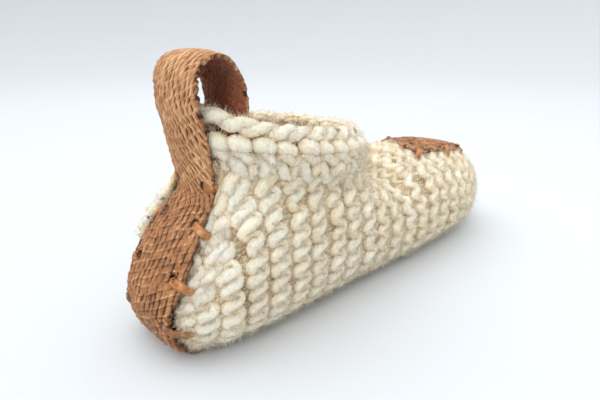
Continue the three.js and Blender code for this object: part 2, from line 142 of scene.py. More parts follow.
def add_node(tree, kind, settings=(), links=()):
    return set_node(tree, tree.nodes.new(kind), settings, links)


def new_material(name):
    material = bpy.data.materials.new(name)
    material.use_nodes = True
    tree = material.node_tree
    return material, tree, tree.nodes["Principled BSDF"]


def add_object(name, mesh, materials, slot, *nodes):
    piece = bpy.data.objects.new(name, mesh)
    bpy.context.collection.objects.link(piece)
    for material in materials:
        mesh.materials.append(material)
    mesh.shade_smooth()
    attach(piece, "root")
    if nodes:
        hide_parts(*nodes)
    return piece


def mesh_from(bm, name):
    mesh = bpy.data.meshes.new(name)
    bm.normal_update()
    bm.to_mesh(mesh)
    bm.free()
    return mesh


def ray_tree(node):
    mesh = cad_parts[node].data
    return BVHTree.FromPolygons([v.co for v in mesh.vertices], [p.vertices for p in mesh.polygons])


# Materials. Sizes of their patterns are in metres, those on the yarn's own map in millimetres. Wool fibres
# and the grain of leather are finer in truth, and are drawn as coarse as they need to show.
FIBRE_LENGTH, FIBRE_WIDTH = 4.2, 0.77
FIBRE_TWIST = math.radians(24)
FLEECE_CLUMP, WOOL_BLOTCH, FELT_CLUMP = 0.9 * MM, 18 * MM, 2.4 * MM
SKIN_GRAIN, SKIN_CLOUD, SUEDE_NAP, LACE_WEAR = 0.7 * MM, 16 * MM, 1.4 * MM, 3.3 * MM


def handspun_wool():
    """Thick handspun wool: soft and matt, cream on the lit loops, and greyer tan down in the valleys and
    on the yarn's sides, where that is painted shade.
    """
    material, tree, shader = new_material("handspun_wool")
    along = add_node(tree, "ShaderNodeUVMap", {"uv_map": "yarn"}).outputs["UV"]
    turned = add_node(tree, "ShaderNodeMapping", {"Rotation": (0, 0, FIBRE_TWIST)}, {"Vector": along})
    fibres = add_node(tree, "ShaderNodeMapping", {"Scale": (1 / FIBRE_LENGTH, 1 / FIBRE_WIDTH, 1)},
                      {"Vector": turned.outputs["Vector"]})
    streak = add_node(tree, "ShaderNodeTexNoise", {"Scale": 1, "Detail": 4, "Roughness": 0.68},
                      {"Vector": fibres.outputs["Vector"]}).outputs["Fac"]
    place = add_node(tree, "ShaderNodeTexCoord").outputs["Object"]
    blotch = add_node(tree, "ShaderNodeTexNoise", {"Scale": 1 / WOOL_BLOTCH, "Detail": 2},
                      {"Vector": place}).outputs["Fac"]
    fleece = add_node(tree, "ShaderNodeTexNoise",
                      {"Scale": 1 / FLEECE_CLUMP, "Detail": 3, "Roughness": 0.7},
                      {"Vector": place}).outputs["Fac"]
    # front is painted light and shade: high on the lit fronts of the loops, low on their sides, on the
    # rear strokes and down in the valleys
    front = add_node(tree, "ShaderNodeAttribute", {"attribute_name": "front"}).outputs["Fac"]
    tone = add_node(tree, "ShaderNodeMath", {"operation": "MULTIPLY_ADD", 1: 0.62, 2: -0.6},
                    {0: front}).outputs["Value"]
    for pattern, weight in ((streak, 0.8), (fleece, 0.6), (blotch, 0.4)):
        tone = add_node(tree, "ShaderNodeMath", {"operation": "MULTIPLY_ADD", 1: weight},
                        {0: pattern, 2: tone}).outputs["Value"]
    # The dark stops are the colours of the painted shade, the light ones the cream of the lit loops
    shades = ((0.05, "#4a3a27"), (0.25, "#947858"), (0.45, "#e4c9a0"), (0.64, "#fee9c8"), (0.9, "#fff7e5"))
    colour = add_node(tree, "ShaderNodeValToRGB", {"stops": shades}, {"Fac": tone}).outputs["Color"]
    rough = add_node(tree, "ShaderNodeMath", {"operation": "ADD"}, {0: streak, 1: fleece}).outputs["Value"]
    bump = add_node(tree, "ShaderNodeBump", {"Strength": 0.9, "Distance": 0.8 * MM}, {"Height": rough})
    soft = {"Subsurface Weight": 0.5, "Subsurface Radius": (1, 0.85, 0.65), "Subsurface Scale": 3 * MM}
    sheen = {"Sheen Weight": 0.35, "Sheen Roughness": 0.6, "Sheen Tint": linear("#fff6e6")}
    set_node(tree, shader, {"Roughness": 0.95, "Specular IOR Level": 0.2, **soft, **sheen},
             {"Base Color": colour, "Normal": bump.outputs["Normal"]})
    return material


def wool_hair():
    """Single hairs of the wool: pale and matt."""
    material, tree, shader = new_material("wool_hair")
    shade = add_node(tree, "ShaderNodeAttribute", {"attribute_name": "shade"}).outputs["Fac"]
    shades = ((0, "#d3bb90"), (0.35, "#f5e5c6"), (1, "#fff8e8"))
    colour = add_node(tree, "ShaderNodeValToRGB", {"stops": shades}, {"Fac": shade}).outputs["Color"]
    set_node(tree, shader, {"Roughness": 0.8, "Specular IOR Level": 0.2}, {"Base Color": colour})
    return material


def shade_felt():
    """Felted wool between the loops: the inside of the knit, painted a dull dark tan as the shade that
    falls there.
    """
    material, tree, shader = new_material("shade_felt")
    place = add_node(tree, "ShaderNodeTexCoord").outputs["Object"]
    felt = add_node(tree, "ShaderNodeTexNoise", {"Scale": 1 / FELT_CLUMP, "Detail": 3},
                    {"Vector": place}).outputs["Fac"]
    # Painted shade: both stops are dark, as the shade down between the loops
    shades = ((0.3, "#453823"), (0.7, "#6b5a3e"))
    colour = add_node(tree, "ShaderNodeValToRGB", {"stops": shades}, {"Fac": felt}).outputs["Color"]
    bump = add_node(tree, "ShaderNodeBump", {"Strength": 0.6, "Distance": 0.6 * MM}, {"Height": felt})
    set_node(tree, shader, {"Roughness": 1, "Specular IOR Level": 0.1},
             {"Base Color": colour, "Normal": bump.outputs["Normal"]})
    return material


def fish_leather():
    """Tanned fish skin: the raised edges of the scale pockets carry a painted highlight, and the cracks
    between them and the undersides of the edges are painted dark as shade.
    """
    material, tree, shader = new_material("fish_leather")
    relief = add_node(tree, "ShaderNodeAttribute", {"attribute_name": "relief"}).outputs["Fac"]
    edge = add_node(tree, "ShaderNodeAttribute", {"attribute_name": "edge"}).outputs["Fac"]
    place = add_node(tree, "ShaderNodeTexCoord").outputs["Object"]
    grain = add_node(tree, "ShaderNodeTexNoise", {"Scale": 1 / SKIN_GRAIN, "Detail": 4, "Roughness": 0.65},
                     {"Vector": place}).outputs["Fac"]
    cloud = add_node(tree, "ShaderNodeTexNoise", {"Scale": 1 / SKIN_CLOUD, "Detail": 3},
                     {"Vector": place}).outputs["Fac"]
    grained = add_node(tree, "ShaderNodeMath", {"operation": "MULTIPLY_ADD", 1: 0.5, 2: -0.25},
                       {0: grain}).outputs["Value"]
    clouded = add_node(tree, "ShaderNodeMath", {"operation": "MULTIPLY_ADD", 1: 0.4, 2: -0.2},
                       {0: cloud}).outputs["Value"]
    mixed = add_node(tree, "ShaderNodeMath", {"operation": "ADD"}, {0: grained, 1: clouded})
    # relief holds the skin's own tone together with the painted light and shade of its pockets
    tone = add_node(tree, "ShaderNodeMath", {"operation": "ADD"}, {0: relief, 1: mixed.outputs["Value"]})
    shades = ((0, "#331c0d"), (0.2, "#633b22"), (0.42, "#93623b"), (0.64, "#ad7a50"), (0.95, "#d7ac7f"))
    skin = add_node(tree, "ShaderNodeValToRGB", {"stops": shades}, {"Fac": tone.outputs["Value"]})
    colour = add_node(tree, "ShaderNodeMix", {"data_type": "RGBA", 7: linear("#4a2a16")},
                      {0: edge, 6: skin.outputs["Color"]}).outputs[2]
    bump = add_node(tree, "ShaderNodeBump", {"Strength": 0.5, "Distance": 0.25 * MM}, {"Height": grain})
    rough = add_node(tree, "ShaderNodeMapRange", {"To Min": 0.5, "To Max": 0.8}, {"Value": grain})
    set_node(tree, shader, {"Specular IOR Level": 0.35}, {
        "Base Color": colour, "Roughness": rough.outputs["Result"], "Normal": bump.outputs["Normal"]})
    return material


def flesh_side():
    """Flesh side of the skin: scraped suede, dark reddish brown with a short nap."""
    material, tree, shader = new_material("suede_flesh_side")
    place = add_node(tree, "ShaderNodeTexCoord").outputs["Object"]
    nap = add_node(tree, "ShaderNodeTexNoise", {"Scale": 1 / SUEDE_NAP, "Detail": 4},
                   {"Vector": place}).outputs["Fac"]
    shades = ((0.3, "#7a4328"), (0.7, "#a86039"))
    colour = add_node(tree, "ShaderNodeValToRGB", {"stops": shades}, {"Fac": nap}).outputs["Color"]
    bump = add_node(tree, "ShaderNodeBump", {"Strength": 0.4, "Distance": 0.2 * MM}, {"Height": nap})
    set_node(tree, shader, {"Roughness": 0.9, "Sheen Weight": 0.2},
             {"Base Color": colour, "Normal": bump.outputs["Normal"]})
    return material


def thong_leather():
    """Oiled leather lace: smooth orange brown, darker along its cut edges, with painted shade near the
    floor, at its tip and down in its hole, and a low shine.
    """
    material, tree, shader = new_material("oiled_leather_lace")
    place = add_node(tree, "ShaderNodeTexCoord").outputs["Object"]
    worn = add_node(tree, "ShaderNodeTexNoise", {"Scale": 1 / LACE_WEAR, "Detail": 4},
                    {"Vector": place}).outputs["Fac"]
    # edge darkens the cut edges and also carries painted shade near the floor, at the tip and in the hole
    edge = add_node(tree, "ShaderNodeAttribute", {"attribute_name": "edge"}).outputs["Fac"]
    shades = ((0.3, "#85502a"), (0.5, "#ae713f"), (0.72, "#c9945f"))
    skin = add_node(tree, "ShaderNodeValToRGB", {"stops": shades}, {"Fac": worn}).outputs["Color"]
    colour = add_node(tree, "ShaderNodeMix", {"data_type": "RGBA", 7: linear("#3d2414")},
                      {0: edge, 6: skin}).outputs[2]
    bump = add_node(tree, "ShaderNodeBump", {"Strength": 0.3, "Distance": 0.2 * MM}, {"Height": worn})
    set_node(tree, shader, {"Roughness": 0.5}, {"Base Color": colour, "Normal": bump.outputs["Normal"]})
    return material


WOOL = handspun_wool()
HAIR = wool_hair()
SHADE_FELT = shade_felt()
FISH = fish_leather()
SUEDE = flesh_side()
LACE = thong_leather()


# Helpers for arrays of points and values
def unit(vectors):
    return vectors / np.maximum(np.linalg.norm(vectors, axis=-1, keepdims=True), 1e-9)


def ease(share):
    """Share from 0 to 1 that starts and ends gently."""
    return share * share * (3 - 2 * share)


def bell(distance, width):
    """Hump that is 1 in its middle and nearly gone at twice its width."""
    return np.exp(-(distance / width) ** 2)


def lengths(points):
    """How far along a line each of its points is."""
    return np.concatenate([[0], np.cumsum(np.linalg.norm(np.diff(points, axis=0), axis=1))])


def smooth(values, times):
    """Evens out values from row to row, and leaves the first and last as they are."""
    for _ in range(times):
        values[1:-1] = (values[:-2] + 2 * values[1:-1] + values[2:]) / 4


# Crest surface of the wool, on a grid: row goes along the foot or up the collar, turn goes around it
class Form:
    def __init__(self, rows, points):
        self.rows = np.array(rows)
        self.points = points
        along = np.gradient(points, axis=0)
        around = np.roll(points, -1, axis=1) - np.roll(points, 1, axis=1)
        self.normals = unit(np.cross(around, along))

    def at(self, row, turn):
        """Points and normals at arrays of rows and turns."""
        count = self.points.shape[1]
        i = np.clip(np.searchsorted(self.rows, row) - 1, 0, len(self.rows) - 2)
        up = np.clip((row - self.rows[i]) / (self.rows[i + 1] - self.rows[i]), 0, 1)[:, None]
        place = turn / TURN * count
        j = np.floor(place).astype(int)
        on = (place - j)[:, None]
        j, k = j % count, (j + 1) % count
        found = []
        for grid in (self.points, self.normals):
            low = grid[i, j] * (1 - on) + grid[i, k] * on
            high = grid[i + 1, j] * (1 - on) + grid[i + 1, k] * on
            found.append(low * (1 - up) + high * up)
        points, normals = found
        return points, unit(normals)


TURNS = 120
KNIT_TREE = ray_tree("knit_body")


def meet(tree, start, direction, reach):
    """Distance along a ray to a mesh, or the whole reach where it misses."""
    distance = tree.ray_cast(start, direction, reach)[3]
    return reach if distance is None else distance


def hit(tree, start, direction):
    return tree.ray_cast(start, direction, direction.length)[0]


def fill_gaps(points):
    """Bridges the places of a grid where a ray went through a punched hole."""
    for line in points:
        missed = np.isnan(line[:, 0])
        if missed.any() and not missed.all():
            places = np.arange(len(line))
            for axis in range(3):
                line[missed, axis] = np.interp(places[missed], places[~missed], line[~missed, axis])


# No leather is wider than this to each side; its edge is sought in steps and then by halving
WIDEST, WIDTH_STEP, WIDTH_HALVINGS = 50 * MM, 0.5 * MM, 6


def reach_across(tree, start, direction, sideways):
    """How far to one side a ray still meets the leather."""
    far = WIDEST
    while far > 0 and not hit(tree, start + sideways * far, direction):
        far -= WIDTH_STEP
    near, far = far, far + WIDTH_STEP
    for _ in range(WIDTH_HALVINGS):
        middle = (near + far) / 2
        if hit(tree, start + sideways * middle, direction):
            near = middle
        else:
            far = middle
    return near


def soften(values, times):
    for _ in range(times):
        values = (np.roll(values, 1) + 2 * values + np.roll(values, -1)) / 4
    return values


# Foot: rings across it, turn 0 at the top and a quarter turn on at the right side. A row is a distance
# from the back of the heel, and goes on over the heel and the toe along their rounding.
HEEL_ROWS = (3, 4, 5.5, 8)
EVEN_RIDGES = range(1, 21)
TOE_ROWS = (250, 256.2, 259, 261.5, 263.3, 264.3)
HEEL_RIDGES = 4
FIRST_RIDGE, LAST_RIDGE = 1, 22
SIDE_SPAN = 6
FOOT_FAR, LEAST_RADIUS = 150 * MM, 1 * MM
HEEL_MIDDLE, FOOT_MIDDLE, MIDDLE_RISE = 22.5 * MM, 27 * MM, 40 * MM
RING_SOFTENING = 2


def rows_along(rings):
    """Row of each ring: its place along the foot, or its way over the rounding at heel and toe."""
    sides = rings[:, TURNS // 4 - SIDE_SPAN:TURNS // 4 + SIDE_SPAN + 1]
    steps = np.linalg.norm(np.diff(sides, axis=0), axis=2).mean(axis=1)
    rows = rings[:, 0, 0].copy()
    heel, toe = len(HEEL_ROWS) + HEEL_RIDGES, len(HEEL_ROWS) + len(EVEN_RIDGES) - 1
    for i in range(heel - 1, -1, -1):
        rows[i] = rows[i + 1] - steps[i]
    for i in range(toe + 1, len(rows)):
        rows[i] = rows[i - 1] + steps[i - 1]
    return rows


def foot_form():
    places = [x * MM for x in HEEL_ROWS]
    places += [k * RIDGE_PITCH for k in EVEN_RIDGES]
    places += [x * MM for x in TOE_ROWS]
    rings = []
    for place in places:
        middle = np.interp(place, (0, MIDDLE_RISE), (HEEL_MIDDLE, FOOT_MIDDLE))
        radii = []
        for k in range(TURNS):
            out = Vector((0, -math.sin(TURN * k / TURNS), math.cos(TURN * k / TURNS)))
            start = Vector((HEEL_BACK + place, 0, middle)) + out * FOOT_FAR
            radii.append(max(FOOT_FAR - meet(KNIT_TREE, start, -out, FOOT_FAR), LEAST_RADIUS))
        radii = soften(np.array(radii), RING_SOFTENING)
        turn = np.arange(TURNS) * TURN / TURNS
        ring = np.stack([np.full(TURNS, HEEL_BACK + place), -radii * np.sin(turn),
                         middle + radii * np.cos(turn)], axis=1)
        rings.append(ring)
    rings = np.array(rings)
    return Form(rows_along(rings), rings)


# Collar: rings on its climbing plane, turn 0 at the front
COLLAR_CENTRE = HEEL_BACK + 78 * MM
COLLAR_ROWS = (66, 74.5, 83.5, 91, 93.3)
COLLAR_FAR = 66 * MM


def collar_form(inside):
    """Outer face of the collar, by rays in towards its middle, or inner face, by rays out from there."""
    rings = []
    for level in COLLAR_ROWS:
        ring = []
        middle_z = level * MM - COLLAR_CLIMB * (COLLAR_CENTRE - COLLAR_MIDDLE)
        for k in range(TURNS):
            angle = TURN * k / TURNS
            out = Vector((math.cos(angle), math.sin(angle), -COLLAR_CLIMB * math.cos(angle)))
            middle = Vector((COLLAR_CENTRE, 0, middle_z))
            length = out.length
            reach = COLLAR_FAR * length
            if inside:
                ring.append(meet(KNIT_TREE, middle, out / length, reach) / length)
            else:
                start = middle + out * COLLAR_FAR
                ring.append(COLLAR_FAR - meet(KNIT_TREE, start, -out / length, reach) / length)
        ring = soften(np.array(ring), RING_SOFTENING)
        turn = np.arange(TURNS) * TURN / TURNS
        x = COLLAR_CENTRE + ring * np.cos(turn)
        rings.append(np.stack([x, ring * np.sin(turn),
                               level * MM - COLLAR_CLIMB * (x - COLLAR_MIDDLE)], axis=1))
    form = Form([level * MM for level in COLLAR_ROWS], np.array(rings))
    if inside:
        form.normals = -form.normals
    return form


FOOT = foot_form()
COLLAR = collar_form(False)
LINING = collar_form(True)


# Yarn. A strand is a line of centres with its outward directions, radii and how far forward it lies, which
# sets its painted light: lighter in front, darker as painted shade further back.
FUZZ_ROOTS = []
STRIP_TREE = ray_tree("heel_strip")
PATCH_TREE = ray_tree("toe_patch")
# Strip and patch lie behind and beyond these places. Rays to the back of the strip start behind the heel.
HEEL_END, TOE_START = HEEL_BACK + 62 * MM, HEEL_BACK + 190 * MM
STRIP_BEHIND = 20 * MM

# Seeds of the chance variation, one for each group of strands
RIDGE_SEED, EDGE_SEED, INNER_SEED, FOLD_SEED, SLOPE_SEED, GATHER_SEED = 110, 250, 252, 255, 270, 280
COLLAR_SEED, CREASE_SEED, CREASE_FOOT_SEED, BEAD_SEED, ARC_SEED = 201, 210, 211, 220, 221
RIM_SEED, LINING_SEED = 300, 400


def waver(steps, per_step, size, rng, closed):
    """Smooth chance variation along a strand, one value at every per_step steps."""
    knots = max(int(round(steps / per_step)), 2)
    values = rng.normal(0, size, knots + 1)
    if closed:
        values[-1] = values[0]
    place = np.linspace(0, knots, steps, endpoint=not closed)
    low = np.minimum(place.astype(int), knots - 1)
    on = ease(place - low)
    return values[low] * (1 - on) + values[low + 1] * on


def rows_at(place, turns):
    """Row at each turn. place is one row, or a table of turns and rows."""
    return np.interp(turns, *place) if isinstance(place, tuple) else np.full(len(turns), place)


def goes_round(span):
    return span[1] - span[0] > TURN - 1e-6


MEASURED_STEPS = 400


def measured(form, place, span):
    """Turns along one row of a form, and how far along it each is."""
    turns = np.linspace(*span, MEASURED_STEPS)
    ring = form.at(rows_at(place, turns), turns)[0]
    return turns, lengths(ring)


class Coil:
    """Shape of a ridge of purl bumps: one strand that crosses the ridge in front and behind.

    In mm, stitch is the length of a bump, reach how far it goes to each side, thick the yarn's radius,
    sunk_ends and behind how deep its ends and its rear stroke lie, and dip how deep the front one does.
    The rest are shares: bend swings the strokes, uneven swells one end, waist and slim thin the strokes,
    shade darkens the rear one, and upright turns the yarn's rings towards the line of the ridge.
    """

    def __init__(self, stitch=0, reach=0, thick=0, sunk_ends=0, behind=0, dip=0, bend=0, uneven=0, waist=0,
                 slim=0, shade=0, upright=0):
        self.stitch, self.reach, self.thick = stitch * MM, reach * MM, thick * MM
        self.sunk_ends, self.behind, self.dip = sunk_ends * MM, behind * MM, dip * MM
        self.bend, self.uneven, self.waist, self.slim, self.shade = bend, uneven, waist, slim, shade
        self.upright = upright


HEEL_COIL = Coil(stitch=7.4, reach=2.8, thick=3.0, sunk_ends=0.35, behind=0.6, bend=0.11, waist=0.06,
                 slim=0.05, shade=0.35)
EDGE_COIL = Coil(stitch=7.2, reach=1.9, thick=2.8, sunk_ends=0.3, behind=0.4, bend=0.1, waist=0.1,
                 slim=0.1, shade=0.3)
TOE_COIL = Coil(stitch=9.2, reach=1.5, thick=3.75, sunk_ends=0.1, behind=0.1, bend=0.03, waist=0.05,
                shade=0.05, upright=0.7)
SLOPE_COIL = Coil(stitch=8.6, reach=1.6, thick=2.4, sunk_ends=0.1, behind=0.1, bend=0.05, waist=0.04,
                  shade=0.1, upright=0.6)
GATHER_COIL = Coil(stitch=7, reach=1.4, thick=3.1, sunk_ends=0.1, behind=0.1, waist=0.05, shade=0.05,
                   upright=0.6)
COLLAR_COIL = Coil(stitch=10.8, reach=2.5, thick=3.4, sunk_ends=0.2, behind=0.4, dip=0.3, bend=0.1,
                   uneven=0.1, waist=0.08, slim=0.1, shade=0.25)
RIM_COIL = Coil(stitch=20, reach=-1.8, thick=2.6, sunk_ends=0.8, behind=1.2, bend=0.04, waist=0.1,
                slim=0.3, shade=0.4)
LINING_COIL = Coil(stitch=8.9, reach=2.2, thick=1.9, sunk_ends=0.3, behind=0.6, bend=0.2, waist=0.1,
                   slim=0.3, shade=0.5)
ARC_COIL = Coil(stitch=10.8, reach=1.2, thick=2.4, sunk_ends=0.2, behind=0.8, bend=0.1, waist=0.1,
                slim=0.2, shade=0.3)
CREASE_COIL = Coil(stitch=9, reach=1.6, thick=2.1, sunk_ends=0.2, behind=0.4, bend=0.2, waist=0.1,
                   slim=0.3, shade=0.4)
HEEL_COIL_RIDGE, TOE_COIL_RIDGE = 3, 11
COIL_STEPS = 18
END_TAPER, END_SHADE = 4 * MM, 0.5
MOST_STRETCH = 1.5
# Chance variation of the bumps: shares of a stitch, of the reach, of the radius and of the tone, or metres
STITCH_VARIES, REACH_VARIES, THICK_VARIES, LUMP_VARIES, TONE_VARIES = 0.08, 0.12, 0.08, 0.05, 0.05
ROW_DRIFT, DEPTH_DRIFT = 0.6 * MM, 0.3 * MM
ROW_DRIFT_STITCHES, DEPTH_DRIFT_STITCHES, LUMP_STEPS = 1.6, 1.3, 4


def body_coil(ridge):
    """Ridges of the body: bumps well to the side at the heel, drawn out into a rope at the toe."""
    share = min(max((ridge - HEEL_COIL_RIDGE) / (TOE_COIL_RIDGE - HEEL_COIL_RIDGE), 0), 1)
    shape = Coil()
    for name, value in vars(HEEL_COIL).items():
        setattr(shape, name, value * (1 - share) + getattr(TOE_COIL, name) * share)
    return shape


def coil(form, place, span, shape, rng, raised=1.0, sunk=0, phase=0):
    """The strand of one ridge. raised is how light it is painted, lower where a ridge lies in shade, and
    sunk is how far it lies below the form.
    """
    turns, length = measured(form, place, span)
    closed = goes_round(span)
    count = max(int(round(length[-1] / shape.stitch)), 2)
    steps = count * COIL_STEPS + (0 if closed else 1)
    t = np.arange(steps) * TURN / COIL_STEPS + phase
    column = (t - phase) / TURN + shape.bend / TURN * 2 * np.sin(2 * t)
    column = column + waver(steps, COIL_STEPS, STITCH_VARIES, rng, closed)
    run = column / count * length[-1]
    run = run % length[-1] if closed else np.clip(run, 0, length[-1])
    turn = np.interp(run, length, turns)
    here = rows_at(place, turn)
    stretch = np.linalg.norm(form.at(here + MM, turn)[0] - form.at(here - MM, turn)[0], axis=1) / (2 * MM)
    plump = np.clip(stretch, 1, MOST_STRETCH) ** 0.6
    cross = plump * shape.reach * np.cos(t) * (1 + waver(steps, COIL_STEPS, REACH_VARIES, rng, closed))
    cross = cross + waver(steps, ROW_DRIFT_STITCHES * COIL_STEPS, ROW_DRIFT, rng, closed)
    row = here + cross / np.maximum(stretch, 0.4) ** 0.2
    swell = 1 + shape.uneven * np.cos(t) + waver(steps, COIL_STEPS, THICK_VARIES, rng, closed)
    thick = plump * shape.thick * swell
    radius = thick * (1 - shape.waist * np.sin(t) ** 2)
    radius = radius * (1 + waver(steps, LUMP_STEPS, LUMP_VARIES, rng, closed))
    back = np.maximum(-np.sin(t), 0) ** 1.3
    radius = radius * (1 - shape.slim * back)
    sink = -radius - shape.sunk_ends * (1 - np.sin(t)) - shape.behind * back - sunk
    sink = sink - shape.dip * np.maximum(np.sin(t), 0) ** 2
    sink = sink + waver(steps, DEPTH_DRIFT_STITCHES * COIL_STEPS, DEPTH_DRIFT, rng, closed)
    if not closed:
        tuck = np.clip(1 - np.minimum(run, length[-1] - run) / END_TAPER, 0, 1)
        sink = sink - shape.behind * tuck ** 2
    points, normals = form.at(row, turn)
    points = points + normals * sink[:, None]
    # Painted light and shade: the front stroke and the bead are painted lighter, the rear stroke and the
    # tucked ends darker
    lit = np.maximum(np.sin(t), np.cos(t) if shape.uneven else 0)
    front = raised * (1 - shape.shade * back) * (0.8 + 0.2 * np.maximum(lit, 0))
    if not closed:
        front = front * (1 - END_SHADE * tuck)
    return {"points": points, "normals": normals, "radius": radius, "closed": closed,
            "front": front + waver(steps, COIL_STEPS, TONE_VARIES, rng, closed),
            "line": form.at(here, turn)[0], "upright": shape.upright}


# Legs: how far they swing, as a share of the pitch, and their tone, painted dark as the shade down in the
# valley; then how much each thing varies by chance, and over how many steps
LEG_STEPS, LEG_SWING, LEG_TONE, LEG_TONE_SWING = 8, 0.32, 0.12, 0.1
LEG_DRIFT, LEG_DRIFT_STEPS = 0.04, 12
LEG_RADIUS_VARIES, LEG_RADIUS_STEPS = 0.12, 6
LEG_TONE_VARIES, LEG_TONE_STEPS = 0.08, 10


def valley_legs(form, place, span, pitch, rng):
    """Legs of the loops, crossing to and fro in the valley beside a ridge."""
    turns, length = measured(form, place, span)
    closed = goes_round(span)
    count = max(int(round(length[-1] / LEG_STITCH)), 3)
    steps = count * LEG_STEPS + (0 if closed else 1)
    t = np.arange(steps) * TURN / LEG_STEPS
    turn = np.interp(np.clip(t / TURN / count, 0, 1) * length[-1], length, turns)
    row = place + pitch / 2 + LEG_SWING * pitch * np.sin(t)
    row = row + waver(steps, LEG_DRIFT_STEPS, LEG_DRIFT * pitch, rng, closed)
    radius = LEG_RADIUS * (1 + waver(steps, LEG_RADIUS_STEPS, LEG_RADIUS_VARIES, rng, closed))
    points, normals = form.at(row, turn)
    points = points - normals * (LEG_DEPTH + radius)[:, None]
    front = LEG_TONE + LEG_TONE_SWING * np.cos(2 * t)
    front = front + waver(steps, LEG_TONE_STEPS, LEG_TONE_VARIES, rng, closed)
    return {"points": points, "normals": normals, "radius": radius, "closed": closed, "front": front}


# Yarn this near to leather is looked at; the gap that it keeps to it, and the least that is left of it
NEAR_LEATHER, LEATHER_GAP, FLATTEST = 9 * MM, 0.5 * MM, 0.1 * MM


def keep_clear(middle, tube):
    """Presses yarn flat where leather lies on it."""
    at_heel, at_toe = middle[:, 0].min() < HEEL_END, middle[:, 0].max() > TOE_START
    for tree, near in ((STRIP_TREE, at_heel), (PATCH_TREE, at_toe)):
        if not near:
            continue
        for i, centre in enumerate(middle):
            centre = Vector(centre)
            if tree.find_nearest(centre, NEAR_LEATHER)[0] is None:
                continue
            for k in range(YARN_SIDES):
                way = Vector(tube[i, k]) - centre
                distance = tree.ray_cast(centre, way.normalized(), way.length + LEATHER_GAP)[3]
                if distance is not None:
                    tube[i, k] = centre + way.normalized() * max(distance - LEATHER_GAP, FLATTEST)


def directions(points, closed):
    """Unit direction of a line at each of its points."""
    if closed:
        ahead = np.roll(points, -1, axis=0) - np.roll(points, 1, axis=0)
    else:
        ahead = np.gradient(points, axis=0)
    return unit(ahead)


# Painted shade of a strand's side, and what more painted light its front has; and how far apart the
# strands lie on the map, in mm
SIDE_TONE, FRONT_TONE = 0.42, 0.58
MAP_APART = 37


def tube_mesh(name, strands, seed):
    """All strands as one mesh of closed tubes, with a map in millimetres along and around the yarn."""
    rng = default_rng(seed)
    corners, loops, sizes, maps, fronts = [], [], [], [], []
    first = 0
    ring = np.arange(YARN_SIDES) * TURN / YARN_SIDES
    for strand in strands:
        points, normals, radius = strand["points"], strand["normals"], strand["radius"]
        closed = strand["closed"]
        count = len(points)
        ahead = directions(points, closed)
        if strand.get("upright"):
            share = strand["upright"]
            ahead = unit(ahead * (1 - share) + directions(strand["line"], closed) * share)
        side = unit(np.cross(ahead, normals))
        out = np.cross(side, ahead)
        round_ = -np.cos(ring)[:, None] * out[:, None, :] - np.sin(ring)[:, None] * side[:, None, :]
        lumps = 1 + rng.normal(0, LUMPS, (count, YARN_SIDES))
        tube = points[:, None, :] + (radius[:, None] * lumps)[:, :, None] * round_
        keep_clear(points, tube)
        tube[:, :, 2] = np.maximum(tube[:, :, 2], FLOOR_GAP)
        corners.append(tube.reshape(-1, 3))
        # Painted shade: the sides of the yarn, turned away from the outside, are darker than its front
        facing = (round_ * normals[:, None, :]).sum(axis=2)
        fronts.append((strand["front"][:, None] * (SIDE_TONE + FRONT_TONE * facing)).reshape(-1))
        FUZZ_ROOTS.append((corners[-1], round_.reshape(-1, 3), np.repeat(normals, YARN_SIDES, axis=0),
                           fronts[-1]))
        here = np.arange(count if closed else count - 1)
        there = (here + 1) % count
        k = np.arange(YARN_SIDES)
        n = (k + 1) % YARN_SIDES
        quads = np.stack([
            here[:, None] * YARN_SIDES + k, here[:, None] * YARN_SIDES + n,
            there[:, None] * YARN_SIDES + n, there[:, None] * YARN_SIDES + k,
        ], axis=2).reshape(-1, 4)
        loops.append((quads + first).reshape(-1))
        sizes.append(np.full(len(quads), 4))
        run = lengths(np.vstack([points, points[:1]])) / MM + MAP_APART * len(corners)
        around = np.arange(YARN_SIDES + 1) / YARN_SIDES * TURN * radius.mean() / MM
        u = np.stack([run[here], run[here], run[here + 1], run[here + 1]], axis=1)
        v = np.stack([around[k], around[k + 1], around[k + 1], around[k]], axis=1)
        grid = np.zeros((len(here), YARN_SIDES, 4, 2))
        grid[..., 0] = u[:, None, :]
        grid[..., 1] = v[None, :, :]
        maps.append(grid.reshape(-1, 2))
        if not closed:
            for cap in (np.arange(YARN_SIDES)[::-1], (count - 1) * YARN_SIDES + np.arange(YARN_SIDES)):
                loops.append(cap + first)
                sizes.append(np.array([YARN_SIDES]))
                maps.append(np.zeros((YARN_SIDES, 2)))
        first += count * YARN_SIDES
    corners, loops = np.concatenate(corners), np.concatenate(loops)
    sizes, maps = np.concatenate(sizes), np.concatenate(maps)
    mesh = bpy.data.meshes.new(name)
    mesh.vertices.add(len(corners))
    mesh.vertices.foreach_set("co", corners.ravel())
    mesh.loops.add(len(loops))
    mesh.loops.foreach_set("vertex_index", loops)
    mesh.polygons.add(len(sizes))
    mesh.polygons.foreach_set("loop_start", np.concatenate([[0], np.cumsum(sizes)[:-1]]))
    mesh.update(calc_edges=True)
    mesh.uv_layers.new(name="yarn").data.foreach_set("uv", maps.ravel())
    mesh.attributes.new("front", "FLOAT", "POINT").data.foreach_set("value", np.concatenate(fronts))
    return mesh


# A ring of the foot is followed up in these steps, as far as the crease or a jump on to the collar
CREASE_STEPS, CREASE_JUMP = 720, 2 * MM


